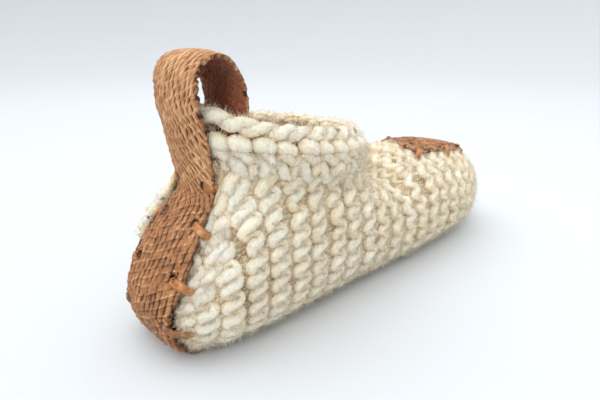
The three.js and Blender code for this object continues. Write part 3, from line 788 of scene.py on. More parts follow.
def crease_turns(place):
    """Turns between which a ridge of the foot runs, below the collar where there is one."""
    turns = np.linspace(0, TURN, CREASE_STEPS + 1)
    ring = FOOT.at(np.full(CREASE_STEPS + 1, place), turns)[0]
    jumps = np.linalg.norm(np.diff(ring, axis=0), axis=1)
    crease = CREASE_LEVEL - COLLAR_CLIMB * (place - COLLAR_MIDDLE)
    top = CREASE_STEPS // 4
    while top > 0 and ring[top - 1, 2] < crease and jumps[top - 1] < CREASE_JUMP:
        top -= 1
    return turns[top], TURN - turns[top]


def foot_span(place):
    under_collar = COLLAR_REAR < place - HEEL_BACK < COLLAR_FRONT
    return crease_turns(place) if under_collar else (0, TURN)


def foot_ridges(first, last):
    strands = []
    for k in range(first, last):
        rng = default_rng(RIDGE_SEED + k)
        place = HEEL_BACK + k * RIDGE_PITCH
        strands.append(coil(FOOT, place, foot_span(place), body_coil(k), rng))
        if k < LAST_RIDGE:
            strands.append(valley_legs(FOOT, place, foot_span(place), RIDGE_PITCH, rng))
    return strands


# Beside the heel strip, on each side, one ridge follows the edge of the leather, and one painted darker,
# as shade, lies deeper, between it and the leather. On the left a fold of wool stands out past both.
EDGE_HEIGHTS = np.linspace(10, 77, 50) * MM
EDGE_ROWS_END = HEEL_BACK + 45 * MM
EDGE_RAY = Vector((50 * MM, 0, 0))
EDGE_TURNS, EDGE_ROWS, EDGE_SMOOTHING = 60, 150, 8
EDGE_GAP, EDGE_SPAN = 4.4 * MM, (0.42, 2.9)
INNER_GAP, INNER_SPAN = 0.5 * MM, (1.1, 2.9)
INNER_SINK, INNER_TONE = 1 * MM, 0.8
FOLD_GAP, FOLD_SPAN = 5 * MM, (0.42, 0.85)
FOLD_BACK, FOLD_TONE = 7.5 * MM, 1.1


def edge_rows(hand, gap):
    """Turns up beside the strip, and the row of the foot that lies a gap out from its edge on each."""
    halves = [reach_across(STRIP_TREE, Vector((HEEL_BACK - STRIP_BEHIND, 0, z)), EDGE_RAY,
                           Vector((0, hand, 0))) for z in EDGE_HEIGHTS]
    turns = np.linspace(*EDGE_SPAN, EDGE_TURNS)
    rows = np.linspace(FOOT.rows[0], EDGE_ROWS_END, EDGE_ROWS)
    found = []
    for turn in turns:
        ring = FOOT.at(rows, np.full(len(rows), turn))[0]
        clear = np.abs(ring[:, 1]) > np.interp(ring[:, 2], EDGE_HEIGHTS, halves) + gap
        found.append(rows[np.argmax(clear)])
    found = np.array(found)
    smooth(found, EDGE_SMOOTHING)
    return (turns, found) if hand < 0 else (TURN - turns[::-1], found[::-1])


def on_side(hand, span):
    """A span of turns on the right side, or the same on the left."""
    return span if hand < 0 else (TURN - span[1], TURN - span[0])


def edge_ridges():
    strands = []
    for k, hand in enumerate((-1, 1)):
        rng, inner_rng = default_rng(EDGE_SEED + k), default_rng(INNER_SEED + k)
        strands.append(coil(FOOT, edge_rows(hand, EDGE_GAP), on_side(hand, EDGE_SPAN), EDGE_COIL, rng))
        strands.append(coil(FOOT, edge_rows(hand, INNER_GAP), on_side(hand, INNER_SPAN), EDGE_COIL,
                            inner_rng, INNER_TONE, INNER_SINK))
    fold = coil(FOOT, edge_rows(1, FOLD_GAP), on_side(1, FOLD_SPAN), HEEL_COIL, default_rng(FOLD_SEED),
                FOLD_TONE)
    fold["points"][:, 0] -= FOLD_BACK
    way = np.linspace(-1, 1, len(fold["radius"]))
    fold["radius"] = fold["radius"] * np.sqrt(1.02 - way ** 8)
    return strands + [fold]


# Short rows on the slope up from the collar, between the ridges that go all round
SLOPE_RIDGES = (11.5, 12.5, 13.5)
SLOPE_SPAN = (-0.85, 0.85)
SLOPE_TONE, SLOPE_SINK = 0.9, 1.2 * MM


def slope_ridges():
    strands = []
    for k in SLOPE_RIDGES:
        rng = default_rng(SLOPE_SEED + int(k))
        strands.append(coil(FOOT, HEEL_BACK + k * RIDGE_PITCH, SLOPE_SPAN, SLOPE_COIL, rng, SLOPE_TONE,
                            SLOPE_SINK))
    return strands


# A plump short strand: places from end to end, and the shares of radius and tone at each; the tone falls
# at its ends, which tuck in, as painted shade
BEAD_WAY = np.linspace(-1, 1, 11)
BEAD_SHAPE = np.sqrt(1.06 - BEAD_WAY ** 2)
BEAD_TONE = 1 - 0.3 * BEAD_WAY ** 4

# Tip of the toe: the last loops drawn together, a small ring and two strands across its middle
GATHER_BACK, GATHER_RADIUS = 2.5 * MM, 3.2 * MM
GATHER_TURNS = (0.6, 2.2)


def toe_gather():
    rng = default_rng(GATHER_SEED)
    strands = [coil(FOOT, FOOT.rows[-1] - GATHER_BACK, (0, TURN), GATHER_COIL, rng)]
    ring = FOOT.points[-1]
    middle = ring.mean(axis=0)
    half = np.linalg.norm(ring - middle, axis=1).mean()
    for turn in GATHER_TURNS:
        across = np.array([0, -math.sin(turn), math.cos(turn)])
        points = middle + half * BEAD_WAY[:, None] * across
        points[:, 0] -= GATHER_RADIUS * (1 + 0.5 * BEAD_WAY ** 2)
        strands.append({"points": points, "normals": np.tile((1.0, 0, 0), (len(points), 1)),
                        "radius": GATHER_RADIUS * BEAD_SHAPE, "closed": False, "front": BEAD_TONE})
    return strands


# Upper ridge of the collar: plump loop heads side by side, each a short thick strand, with the feet below
BEAD_STITCH, BEAD_LENGTH, BEAD_RADIUS, BEAD_TILT = 10.8 * MM, 11.6 * MM, 4.1 * MM, 1.4 * MM
BEAD_END_SINK, BEAD_PROUD = 2.2 * MM, 0.3 * MM
BEAD_SIZE_VARIES, BEAD_PLACE_VARIES, BEAD_ROW_VARIES, BEAD_TONE_VARIES = 0.07, 0.05, 0.4 * MM, 0.04


def collar_beads(rng):
    turns, length = measured(COLLAR, BEAD_LEVEL, (0, TURN))
    count = int(round(length[-1] / BEAD_STITCH))
    strands = []
    for k in range(count):
        size = 1 + rng.normal(0, BEAD_SIZE_VARIES)
        middle = (k + 0.5 + rng.normal(0, BEAD_PLACE_VARIES)) / count * length[-1]
        run = (middle + BEAD_WAY * BEAD_LENGTH / 2 * size) % length[-1]
        row = BEAD_LEVEL - BEAD_TILT * BEAD_WAY + rng.normal(0, BEAD_ROW_VARIES)
        radius = BEAD_RADIUS * size * BEAD_SHAPE
        points, normals = COLLAR.at(row, np.interp(run, length, turns))
        sink = -radius - BEAD_END_SINK * BEAD_WAY ** 4 + BEAD_PROUD
        strands.append({"points": points + normals * sink[:, None], "normals": normals, "radius": radius,
                        "closed": False, "front": BEAD_TONE + rng.normal(0, BEAD_TONE_VARIES)})
    return strands


# Ridges of the collar: a lower one, the upper one with its feet, one down in the crease below that is
# painted dark as the crease's shade, and rows that close the crease in front, painted darker as shade too
CREASE_TONE, CREASE_FOOT_TONE = 0.25, 0.45


def collar_ridges():
    strands = []
    for k, level in enumerate(COLLAR_RIDGES):
        rng = default_rng(COLLAR_SEED + k)
        strands.append(coil(COLLAR, level, (0, TURN), COLLAR_COIL, rng))
        strands.append(valley_legs(COLLAR, level, (0, TURN), COLLAR_PITCH, rng))
    strands += collar_beads(default_rng(BEAD_SEED))
    strands.append(coil(COLLAR, ARC_LEVEL, (0, TURN), ARC_COIL, default_rng(ARC_SEED)))
    strands.append(coil(COLLAR, CREASE_RIDGE, (0, TURN), CREASE_COIL, default_rng(CREASE_SEED),
                        CREASE_TONE))
    for k, drop in enumerate(CREASE_DROPS):
        rng = default_rng(CREASE_FOOT_SEED + k)
        front = coil(COLLAR, CREASE_FOOT, CREASE_SPAN, SLOPE_COIL, rng, CREASE_FOOT_TONE)
        front["points"][:, 2] -= drop
        front["points"][:, 0] += drop / 2
        strands.append(front)
    return strands


# Cast-off edge: how its top row swells, sways and bobs, once in each stitch
RIM_STEPS, RIM_STITCHES, RIM_VARY_STEPS = 300, 22, 9
RIM_RADIUS, RIM_SWELL, RIM_SWAY, RIM_BOB, RIM_TONE = 3.1 * MM, 0.1, 0.8 * MM, 0.5 * MM, 0.85


def rim_chain():
    """Slanted links round the outside of the rim, and a rounder row along its top."""
    rng = default_rng(RIM_SEED)
    strands = [coil(COLLAR, RIM_LEVEL, (0, TURN), RIM_COIL, rng, phase=phase) for phase in (0, math.pi)]
    turn = np.arange(RIM_STEPS) * TURN / RIM_STEPS
    stitch = RIM_STITCHES * turn
    points, normals = COLLAR.at(np.full(RIM_STEPS, RIM_LEVEL), turn)
    swell = RIM_SWELL * np.cos(stitch) + waver(RIM_STEPS, RIM_VARY_STEPS, 0.05, rng, True)
    radius = RIM_RADIUS * (1 + swell)
    points = points - normals * (RIM_INSET + RIM_SWAY * np.sin(stitch))[:, None]
    points[:, 2] += RIM_LIFT - RIM_RADIUS + RIM_BOB * np.sin(stitch)
    strands.append({"points": points, "normals": normals, "radius": radius, "closed": True,
                    "front": RIM_TONE + waver(RIM_STEPS, RIM_VARY_STEPS, 0.06, rng, True)})
    for strand in strands:
        rear = np.abs(np.arctan2(strand["points"][:, 1], COLLAR_CENTRE - strand["points"][:, 0]))
        strand["points"][:, 2] += REAR_LIFT * bell(rear, REAR_SPREAD)
    return strands


# Lining inside the collar, painted darker as the shade that falls inside it
LINING_TONE = 0.62


def collar_lining():
    strands = []
    for k, level in enumerate(LINING_RIDGES):
        rng = default_rng(LINING_SEED + k)
        strands.append(coil(LINING, level, (0, TURN), LINING_COIL, rng, LINING_TONE))
    return strands


INSTEP_RIDGE, TOE_RIDGE = 7, 15


def yarn(name, strands, seed, *nodes):
    add_object(name, tube_mesh(name, strands, seed), [WOOL], "wool", *nodes)


yarn("yarn_heel", foot_ridges(FIRST_RIDGE, INSTEP_RIDGE) + edge_ridges(), 1, "knit_body")
yarn("yarn_instep", foot_ridges(INSTEP_RIDGE, TOE_RIDGE) + slope_ridges(), 2)
yarn("yarn_toe", foot_ridges(TOE_RIDGE, LAST_RIDGE + 1) + toe_gather(), 3)
yarn("yarn_collar", collar_ridges() + rim_chain(), 4)
yarn("yarn_lining", collar_lining(), 5)


# Felted ground between the loops: a thin skin inside the yarn, painted dark tan as the shade between them
FELT_ACROSS, FELT_STEP, FELT_WALL = 72, 3 * MM, 1 * MM
FELT_FLOOR, FELT_GAP = 3 * MM, 0.5 * MM
FELT_LEVELS = np.linspace(66, 92, 10)


def ground_skin(name, form, rows, spans, sink):
    bm = bmesh.new()
    bmesh.ops.create_grid(bm, x_segments=len(rows) - 1, y_segments=FELT_ACROSS, size=1)
    for vertex in bm.verts:
        i = int(round((vertex.co.x + 1) / 2 * (len(rows) - 1)))
        on = (vertex.co.y + 1) / 2
        start, end = spans[i]
        points, normals = form.at(np.array([rows[i]]), np.array([start + (end - start) * on]))
        vertex.co = points[0] + normals[0] * sink
        vertex.co.z = max(vertex.co.z, FELT_FLOOR)
    bmesh.ops.remove_doubles(bm, verts=bm.verts, dist=0.05 * MM)
    bmesh.ops.recalc_face_normals(bm, faces=bm.faces)
    piece = add_object(name, mesh_from(bm, name), [SHADE_FELT], "wool")
    piece.modifiers.new("wall", "SOLIDIFY").thickness = FELT_WALL


def foot_ground():
    """Three skins, so that none has to close over the opening: heel, under the collar, and forefoot."""
    rear, front = HEEL_BACK + COLLAR_REAR, HEEL_BACK + COLLAR_FRONT
    parts = (
        ("shade_felt_heel", FOOT.rows[1], rear - FELT_GAP, HEEL_FELT_DEPTH),
        ("shade_felt_middle", rear + FELT_GAP, front - FELT_GAP, FELT_DEPTH),
        ("shade_felt_forefoot", front + FELT_GAP, FOOT.rows[-2], FELT_DEPTH),
    )
    for name, start, end, depth in parts:
        rows = np.linspace(start, end, 2 + int((end - start) / FELT_STEP))
        ground_skin(name, FOOT, rows, [foot_span(place) for place in rows], -depth)


def collar_ground():
    rows = [level * MM for level in FELT_LEVELS]
    ground_skin("shade_felt_collar", COLLAR, rows, [(0, TURN)] * len(rows), -COLLAR_FELT_DEPTH)


foot_ground()
collar_ground()


# Fuzz: single wool hairs on the loops, each a thin three-sided spike. They are drawn some five times
# thicker than real wool hairs, which are too fine to show. They grow on the yarn's outer, lighter side.
LEAST_OUTWARD, LEAST_TONE = -0.1, 0.5
ROOT_SCATTER, ROOT_DEPTH = 0.4 * MM, 0.3 * MM
LENGTH_VARIES, LEAST_LIFT, MOST_LIFT = 0.45, 0.3, 1.2
FUZZ_PIECES, FUZZ_SEED = 3, 7


def fuzz(name, seed):
    rng = default_rng(seed)
    places, rounds, normals, fronts = (np.concatenate(part) for part in zip(*FUZZ_ROOTS))
    outward = (rounds * normals).sum(axis=1)
    chosen = np.nonzero((outward > LEAST_OUTWARD) & (fronts > LEAST_TONE))[0]
    chosen = rng.choice(chosen, HAIRS)
    out = rounds[chosen]
    root = places[chosen] + rng.normal(0, ROOT_SCATTER, (HAIRS, 3)) - out * ROOT_DEPTH
    stray = rng.normal(0, 1, (HAIRS, 3))
    stray = unit(stray - out * (stray * out).sum(axis=1, keepdims=True))
    length = rng.lognormal(math.log(HAIR_LENGTH), LENGTH_VARIES, HAIRS)
    length = np.clip(length, SHORTEST_HAIR, LONGEST_HAIR)[:, None]
    tip = root + length * (stray + out * rng.uniform(LEAST_LIFT, MOST_LIFT, (HAIRS, 1)))
    side = np.cross(stray, out)
    points = np.zeros((HAIRS, 4, 3))
    for k in range(3):
        angle = TURN * k / 3
        points[:, k] = root + (side * math.cos(angle) + out * math.sin(angle)) * HAIR_WIDTH / 2
    points[:, 3] = tip
    points[:, :, 2] = np.maximum(points[:, :, 2], FLOOR_GAP)
    faces = np.array([(0, 1, 3), (1, 2, 3), (2, 0, 3), (2, 1, 0)])
    faces = (faces[None] + 4 * np.arange(HAIRS)[:, None, None]).reshape(-1, 3)
    mesh = bpy.data.meshes.new(name)
    mesh.from_pydata(points.reshape(-1, 3), [], faces)
    shades = np.repeat(rng.uniform(0, 1, HAIRS), 4)
    mesh.attributes.new("shade", "FLOAT", "POINT").data.foreach_set("value", shades)
    add_object(name, mesh, [HAIR], "wool")


for k in range(FUZZ_PIECES):
    fuzz(f"wool_fuzz_{k + 1}", FUZZ_SEED + k)


# Leather sheets: a grid laid on a CAD piece by rays, with the relief of the skin, then a wall
LATTICE = 64


class Lattice:
    """Smooth chance values over a plane: one at each corner of a square lattice."""

    def __init__(self, seed):
        self.values = default_rng(seed).uniform(-1, 1, (LATTICE, LATTICE))

    def at(self, u, v):
        i, j = np.floor(u).astype(int), np.floor(v).astype(int)
        a, b = ease(u - i), ease(v - j)
        corner = [[self.values[(i + m) % LATTICE, (j + n) % LATTICE] for n in (0, 1)] for m in (0, 1)]
        low = corner[0][0] * (1 - b) + corner[0][1] * b
        high = corner[1][0] * (1 - b) + corner[1][1] * b
        return low * (1 - a) + high * a

    def one(self, u, v):
        return self.at(np.array([u]), np.array([v]))[0]


# Cells of chance across and along a skin, in mm: bends of its ranks and files, torn cracks, frayed ledges,
# crumples and streaks
SKIN_CELLS = ((6, 7), (6, 6), (2.6, 3.1), (1.7, 1.3), (0.9, 1.7), (0.75, 4.2))
RANK_SLANT, RANK_BEND, FILE_BEND = 0.5, 0.25, 0.35
CRACK_WIDTH, LEDGE_WIDTH, UNDER_WIDTH, UNDER_SHIFT = 0.15, 0.09, 0.07, 0.15
STREAK_FLOOR = 0.15


def scale_pockets(u, v, wide, long, seed, brick, ledged, streaky, open_):
    """Relief of a fish skin, by place across and along it in metres: height, and tone from 0 to 1, with
    painted light and shade in the tone.

    A pocket is so wide and long. brick is how far each rank of pockets is shifted, ledged how much the
    edges of the ranks stand out, streaky how many fine streaks there are, and open_ how far the pockets
    have cracked open.
    """
    chance = [Lattice(seed + k).at(u / (a * MM), v / (b * MM)) for k, (a, b) in enumerate(SKIN_CELLS)]
    slant = (v + RANK_SLANT * u) / long + RANK_BEND * chance[0]
    rank = np.floor(slant)
    upright = u / wide + brick * (rank % 2) + FILE_BEND * chance[1]
    flap, step = upright - np.floor(upright), slant - rank
    ends = np.clip(4 * step * (0.9 - step), 0, 1)
    crack = bell(upright - np.round(upright), CRACK_WIDTH) * (1 - 2 * brick * (1 - ends))
    ledge = ledged * bell(slant - np.round(slant), LEDGE_WIDTH)
    under = ledged * bell(slant - np.round(slant + UNDER_SHIFT) + UNDER_SHIFT, UNDER_WIDTH)
    torn = open_ * np.clip(0.8 + 0.8 * chance[2], 0, 1)
    fray = np.clip(0.5 + 0.8 * chance[3], 0, 1)
    streak = streaky * np.clip(chance[5] - STREAK_FLOOR, 0, 1)
    # What each feature adds to the height, in mm, and to the tone. The tones of the flaps, lighter towards
    # their raised side, and of the ledges are painted light; those of the cracks and of the strips under
    # the ledges are painted shade
    features = ((1, 0.2, 0.54), (flap, 0.3, 0.12), (step, 0.25, 0), (crack * torn, -0.6, -1.0),
                (ledge * fray, 0.25, 0.3), (under * torn, -0.2, -0.5), (chance[4], 0.16, 0.2),
                (streak, -0.3, -0.6))
    height = sum(feature * high for feature, high, _ in features) * MM
    tone = sum(feature * light for feature, _, light in features)
    return height, tone


def sheet_normals(points):
    return unit(np.cross(np.gradient(points, axis=0), np.gradient(points, axis=1)))


# The corners of the grid that lie this near to a hole are drawn on to its rim
HOLE_RING = 0.45 * MM


def leather_sheet(name, points, normals, tone, edge, holes, node, materials, slot, thickness):
    """Sheet through a grid of points, with round holes; the wall grows inwards from it."""
    rows, columns = points.shape[:2]
    bm = bmesh.new()
    bmesh.ops.create_grid(bm, x_segments=rows - 1, y_segments=columns - 1, size=1)
    relief_layer = bm.verts.layers.float.new("relief")
    edge_layer = bm.verts.layers.float.new("edge")
    facing = {}
    for vertex in bm.verts:
        i = int(round((vertex.co.x + 1) / 2 * (rows - 1)))
        j = int(round((vertex.co.y + 1) / 2 * (columns - 1)))
        vertex.co = points[i, j]
        vertex[relief_layer] = tone[i, j]
        vertex[edge_layer] = edge[i, j]
        facing[vertex] = Vector(normals[i, j])
    for place in holes:
        inside = [v for v in bm.verts if (v.co - place).length < HOLE_RADIUS]
        bmesh.ops.delete(bm, geom=inside, context="VERTS")
        for vertex in bm.verts:
            away = vertex.co - place
            if away.length < HOLE_RADIUS + HOLE_RING and vertex.is_boundary:
                vertex.co = place + away.normalized() * HOLE_RADIUS
                vertex[edge_layer] = 1
    bmesh.ops.remove_doubles(bm, verts=bm.verts, dist=0.02 * MM)
    bm.normal_update()
    outward = sum(v.normal.dot(facing[v]) for v in bm.verts if v in facing)
    if outward < 0:
        bmesh.ops.reverse_faces(bm, faces=bm.faces)
    piece = add_object(name, mesh_from(bm, name), materials, slot, node)
    wall = piece.modifiers.new("wall", "SOLIDIFY")
    wall.thickness = thickness
    wall.offset = -1
    wall.material_offset = len(materials) - 1


# Thongs: their way is read from the CAD piece, from the hole to the tip. Out is away from a place inside.
HEEL_INSIDE = Vector((HEEL_BACK + 60 * MM, 0, 40 * MM))
TOE_INSIDE = 25 * MM


def thong_way(node, leather_middle):
    """Start, direction to the tip, direction across, outward direction and length of a thong."""
    corners = np.array([v.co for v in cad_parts[node].data.vertices])
    middle = corners.mean(axis=0)
    axes = np.linalg.svd(corners - middle, full_matrices=False)[2]
    along, across, out = (Vector(axis) for axis in axes)
    middle = Vector(middle)
    if along.dot(middle - leather_middle) < 0:
        along.negate()
    inside = HEEL_INSIDE if middle.x < HEEL_END else Vector((middle.x, 0, TOE_INSIDE))
    if out.dot(middle - inside) < 0:
        out.negate()
    reach = [along.dot(Vector(corner) - middle) for corner in corners]
    start = middle + along * min(reach)
    return start, along, across, out, max(reach) - min(reach)


HEEL_THONGS = [f"heel_thong_{name}_{hand}" for hand in ("right", "left")
               for name in ("ankle", "upper", "lower", "floor")]
TOE_THONGS = [f"toe_thong_{name}_{hand}" for hand in ("right", "left")
              for name in ("rear", "corner", "side", "front", "tip")]
PATCH_LOW, PATCH_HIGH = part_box("toe_patch")
PATCH_MIDDLE = (PATCH_LOW + PATCH_HIGH) / 2


def leather_middle(node):
    if node in TOE_THONGS:
        return PATCH_MIDDLE
    low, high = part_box(node)
    return Vector(((low.x + high.x) / 2, 0, (low.z + high.z) / 2))


def hole_places(nodes, tree):
    """Middles of the punched holes on the leather, just behind the start of each thong."""
    places = []
    for node in nodes:
        start, along, _, out, _ = thong_way(node, leather_middle(node))
        centre = start - along * HOLE_TO_THONG
        places.append(tree.find_nearest(centre + out * 1 * MM)[0])
    return places


# Heel strip: rays find its outer face, from under the heel, up the back, over the loop and down inside.
# Where it starts and turns up, from the back of the heel, and the reaches of the rays are in mm.
STRIP_COLUMNS, STRIP_STEP = 100, 0.48 * MM
STRIP_FOOT, TURN_PLACE = 27.8, 24
INNER_END = 77.3 * MM
TURN_CENTRE = Vector((HEEL_BACK + TURN_PLACE * MM, 0, 24 * MM))
LOOP_CENTRE = Vector((HEEL_BACK + 36 * MM, 0, 110 * MM))
TURN_RAYS, LOOP_RAYS = 76, 104
UNDER_REACH, TURN_REACH, BACK_REACH, LOOP_REACH, INNER_REACH = 40, 60, 56, 40, 34
STRIP_BELOW, STRIP_BEFORE = 20 * MM, 70 * MM
STRIP_SMOOTHING = 40
# Sideways lean of the wrinkles, by way along the strip: slanted on the lower part of the loop
LOOP_START, LOOP_FADE = 92 * MM, 10 * MM
WRINKLE_LEAN = ((0, LOOP_START, 122 * MM, 136 * MM, 170 * MM), (0, 0, 15 * MM, 17 * MM, 4 * MM))


def strip_rays():
    """Start and direction of the ray of each row of the heel strip, with its reach as the length."""
    rays = []
    for x in np.arange(STRIP_FOOT, TURN_PLACE, -STRIP_STEP / MM):
        rays.append((Vector((HEEL_BACK + x * MM, 0, -STRIP_BELOW)), Vector((0, 0, UNDER_REACH * MM))))
    for angle in np.linspace(0, math.pi / 2, TURN_RAYS, endpoint=False):
        direction = Vector((math.sin(angle), 0, math.cos(angle))) * TURN_REACH * MM
        rays.append((TURN_CENTRE - direction, direction))
    for z in np.arange(TURN_CENTRE.z, LOOP_CENTRE.z, STRIP_STEP):
        rays.append((Vector((HEEL_BACK - STRIP_BEHIND, 0, z)), Vector((BACK_REACH * MM, 0, 0))))
    for angle in np.linspace(0, math.pi, LOOP_RAYS, endpoint=False):
        direction = Vector((math.cos(angle), 0, -math.sin(angle))) * LOOP_REACH * MM
        rays.append((LOOP_CENTRE - direction, direction))
    for z in np.arange(LOOP_CENTRE.z, INNER_END, -STRIP_STEP):
        rays.append((Vector((HEEL_BACK + STRIP_BEFORE, 0, z)), Vector((-INNER_REACH * MM, 0, 0))))
    return rays


# Left edge is torn in a shallow notch at the waist of the strip
NOTCH_DEPTH, NOTCH_HEIGHT, NOTCH_SPREAD = 4.5 * MM, 66 * MM, 6 * MM
NOTCH_ROWS = 260
# Cut edges are frayed: the least that is gone, what more may be, and how fast it changes by row
LEAST_FRAY, MORE_FRAY, FRAY_PER_ROW = 0.1 * MM, 0.5 * MM, 0.25
DARK_EDGE = 0.05
STRIP_SINK = 0.3 * MM
HEEL_SKIN = {"wide": 3.2 * MM, "long": 4.0 * MM, "seed": 20, "brick": 0, "ledged": 1.5, "streaky": 0.2,
             "open_": 0.55}
LOOP_SKIN = {"wide": 2.7 * MM, "long": 3.8 * MM, "seed": 21, "brick": 0.5, "ledged": 0.3, "streaky": 0.15,
             "open_": 1.3}
HEEL_TONE, LOOP_TONE = -0.07, 0.12


def frayed(value):
    """How much of an edge is gone, by a chance value from -1 to 1."""
    return LEAST_FRAY + MORE_FRAY * (0.5 + 0.5 * value)


def heel_strip():
    rays = strip_rays()
    sides = np.linspace(-1, 1, STRIP_COLUMNS)
    ragged = [Lattice(11), Lattice(12)]
    points = np.zeros((len(rays), STRIP_COLUMNS, 3))
    for i, (start, direction) in enumerate(rays):
        half = reach_across(STRIP_TREE, start, direction, Vector((0, 1, 0)))
        for j, side in enumerate(sides):
            inset = frayed(ragged[int(side > 0)].one(i * FRAY_PER_ROW, 0.5))
            if side > 0 and i < NOTCH_ROWS:
                inset += NOTCH_DEPTH * bell(start.z - NOTCH_HEIGHT, NOTCH_SPREAD)
            spot = start + Vector((0, side * (half - inset), 0))
            points[i, j] = hit(STRIP_TREE, spot, direction)
    fill_gaps(points)
    smooth(points, STRIP_SMOOTHING)
    along = np.repeat(lengths(points[:, STRIP_COLUMNS // 2])[:, None], STRIP_COLUMNS, axis=1)
    across = points[:, :, 1]
    normals = sheet_normals(points)
    outward = np.array([-direction for _, direction in rays])
    if (normals * outward[:, None, :]).sum() < 0:
        normals = -normals
    lean = np.interp(along, *WRINKLE_LEAN)
    heel_height, heel_tone = scale_pockets(across - lean, along, **HEEL_SKIN)
    loop_height, loop_tone = scale_pockets(across - lean, along, **LOOP_SKIN)
    on_loop = np.clip((along - LOOP_START) / LOOP_FADE, 0, 1)
    height = heel_height * (1 - on_loop) + loop_height * on_loop
    tone = (heel_tone + HEEL_TONE) * (1 - on_loop) + (loop_tone + LOOP_TONE) * on_loop
    edge = np.clip((np.abs(sides) - 1) / DARK_EDGE + 1, 0, 1)[None, :] * np.ones_like(tone)
    edge = edge * np.clip(0.2 + 0.6 * Lattice(13).at(across / MM, along / (1.2 * MM)), 0, 1)
    points = points + normals * (height - STRIP_SINK)[..., None]
    points[:, :, 2] = np.maximum(points[:, :, 2], 0)
    holes = hole_places(HEEL_THONGS, STRIP_TREE)
    leather_sheet("fish_leather_heel_strip", points, normals, tone, edge, holes, "heel_strip",
                  [FISH, SUEDE], "fish_leather", STRIP_THICKNESS)


heel_strip()


# Toe patch: a leaf of skin, laid by rays from above, ring by ring from its middle to its ragged edge. Its
# edge is frayed all round, and bitten at the rear; both are read on circles round a place in a lattice.
PATCH_RINGS, PATCH_SPOKES = 44, 180
FRAY_CIRCLE, BITE_CIRCLE, CIRCLE_PLACE = 27, 2.2, 20
PATCH_BITE = 4 * MM
PATCH_PRESS, PRESSED_SHARE = 1.6 * MM, 0.2
PATCH_RELIEF, PATCH_SINK, PATCH_TONE = 1.2, 1.1 * MM, -0.1
PATCH_SKIN = {"wide": 5 * MM, "long": 6 * MM, "seed": 40, "brick": 0.5, "ledged": 1, "streaky": 1.2,
              "open_": 0.4}
PATCH_EDGE, PATCH_EDGE_SHADE = 0.04, 0.5
ABOVE_PATCH, DOWN = 20 * MM, Vector((0, 0, -60 * MM))


def toe_patch():
    centre = Vector((PATCH_MIDDLE.x, PATCH_MIDDLE.y, PATCH_HIGH.z + ABOVE_PATCH))
    points = np.zeros((PATCH_RINGS, PATCH_SPOKES + 1, 3))
    shares = np.linspace(0, 1, PATCH_RINGS)
    chance = Lattice(31)
    for j in range(PATCH_SPOKES + 1):
        angle = TURN * (j % PATCH_SPOKES) / PATCH_SPOKES
        out = Vector((math.cos(angle), math.sin(angle), 0))
        fray, bite = (chance.one(CIRCLE_PLACE + circle * out.x, CIRCLE_PLACE + circle * out.y)
                      for circle in (FRAY_CIRCLE, BITE_CIRCLE))
        rim = reach_across(PATCH_TREE, centre, DOWN, out) - frayed(fray)
        rim -= PATCH_BITE * max(bite, 0) * (0.5 - 0.5 * out.x)
        for i, share in enumerate(shares):
            points[i, j] = hit(PATCH_TREE, centre + out * rim * share, DOWN)
    fill_gaps(points[1:])
    normals = sheet_normals(points)
    normals[0] = (0, 0, 1)
    normals[normals[..., 2] < 0] *= -1
    height, tone = scale_pockets(points[..., 1], points[..., 0], **PATCH_SKIN)
    tone = tone + PATCH_TONE
    edge = PATCH_EDGE_SHADE * np.clip((shares - 1) / PATCH_EDGE + 1, 0, 1)[:, None] * np.ones_like(tone)
    press = PATCH_PRESS * np.clip((shares - 1) / PRESSED_SHARE + 1, 0, 1)[:, None] ** 2
    points = points + normals * (PATCH_RELIEF * height - PATCH_SINK - press)[..., None]
    points[:, -1] = points[:, 0]
    holes = hole_places(TOE_THONGS, PATCH_TREE)
    leather_sheet("fish_leather_toe_patch", points, normals, tone, edge, holes, "toe_patch",
                  [FISH, SUEDE], "fish_leather", STRIP_THICKNESS)


toe_patch()


# Thong: up out of its hole, flat over the edge of the leather, and with its tip pressed into the wool
THONG_ROWS, THONG_COLUMNS, THONG_SEED = 40, 9, 60
THONG_DROP, THONG_SINK = 2.4 * MM, 0.3 * MM
TIP_SINK, TIP_WIDTHS = 4.5 * MM, 1.8
TOE_SINK, TOE_TIP_SINK = 0.8 * MM, 1.4 * MM
TOE_WIDE, TOE_NARROWING = 1.5, 0.9
ANKLE_BEND = 3 * MM
THONG_SWELL, CUPPING = 0.25 * MM, 0.25 * MM
WIDTH_CELL, SWELL_CELL = 2 * MM, 1.7 * MM
END_MARGIN = 0.2 * MM
# Rays to the CAD thong start this far off it, in mm, or else the nearest place is taken from nearer by
THONG_RAY, NEAR_THONG = 15, 5
# Painted shade of a thong near the floor, at its tip and down in its hole, and the darker colour along its
# cut sides
FLOOR_SHADE, SIDE_SHADE, TIP_SHADE, HOLE_SHADE = 0.35, 0.2, 0.5, 0.9


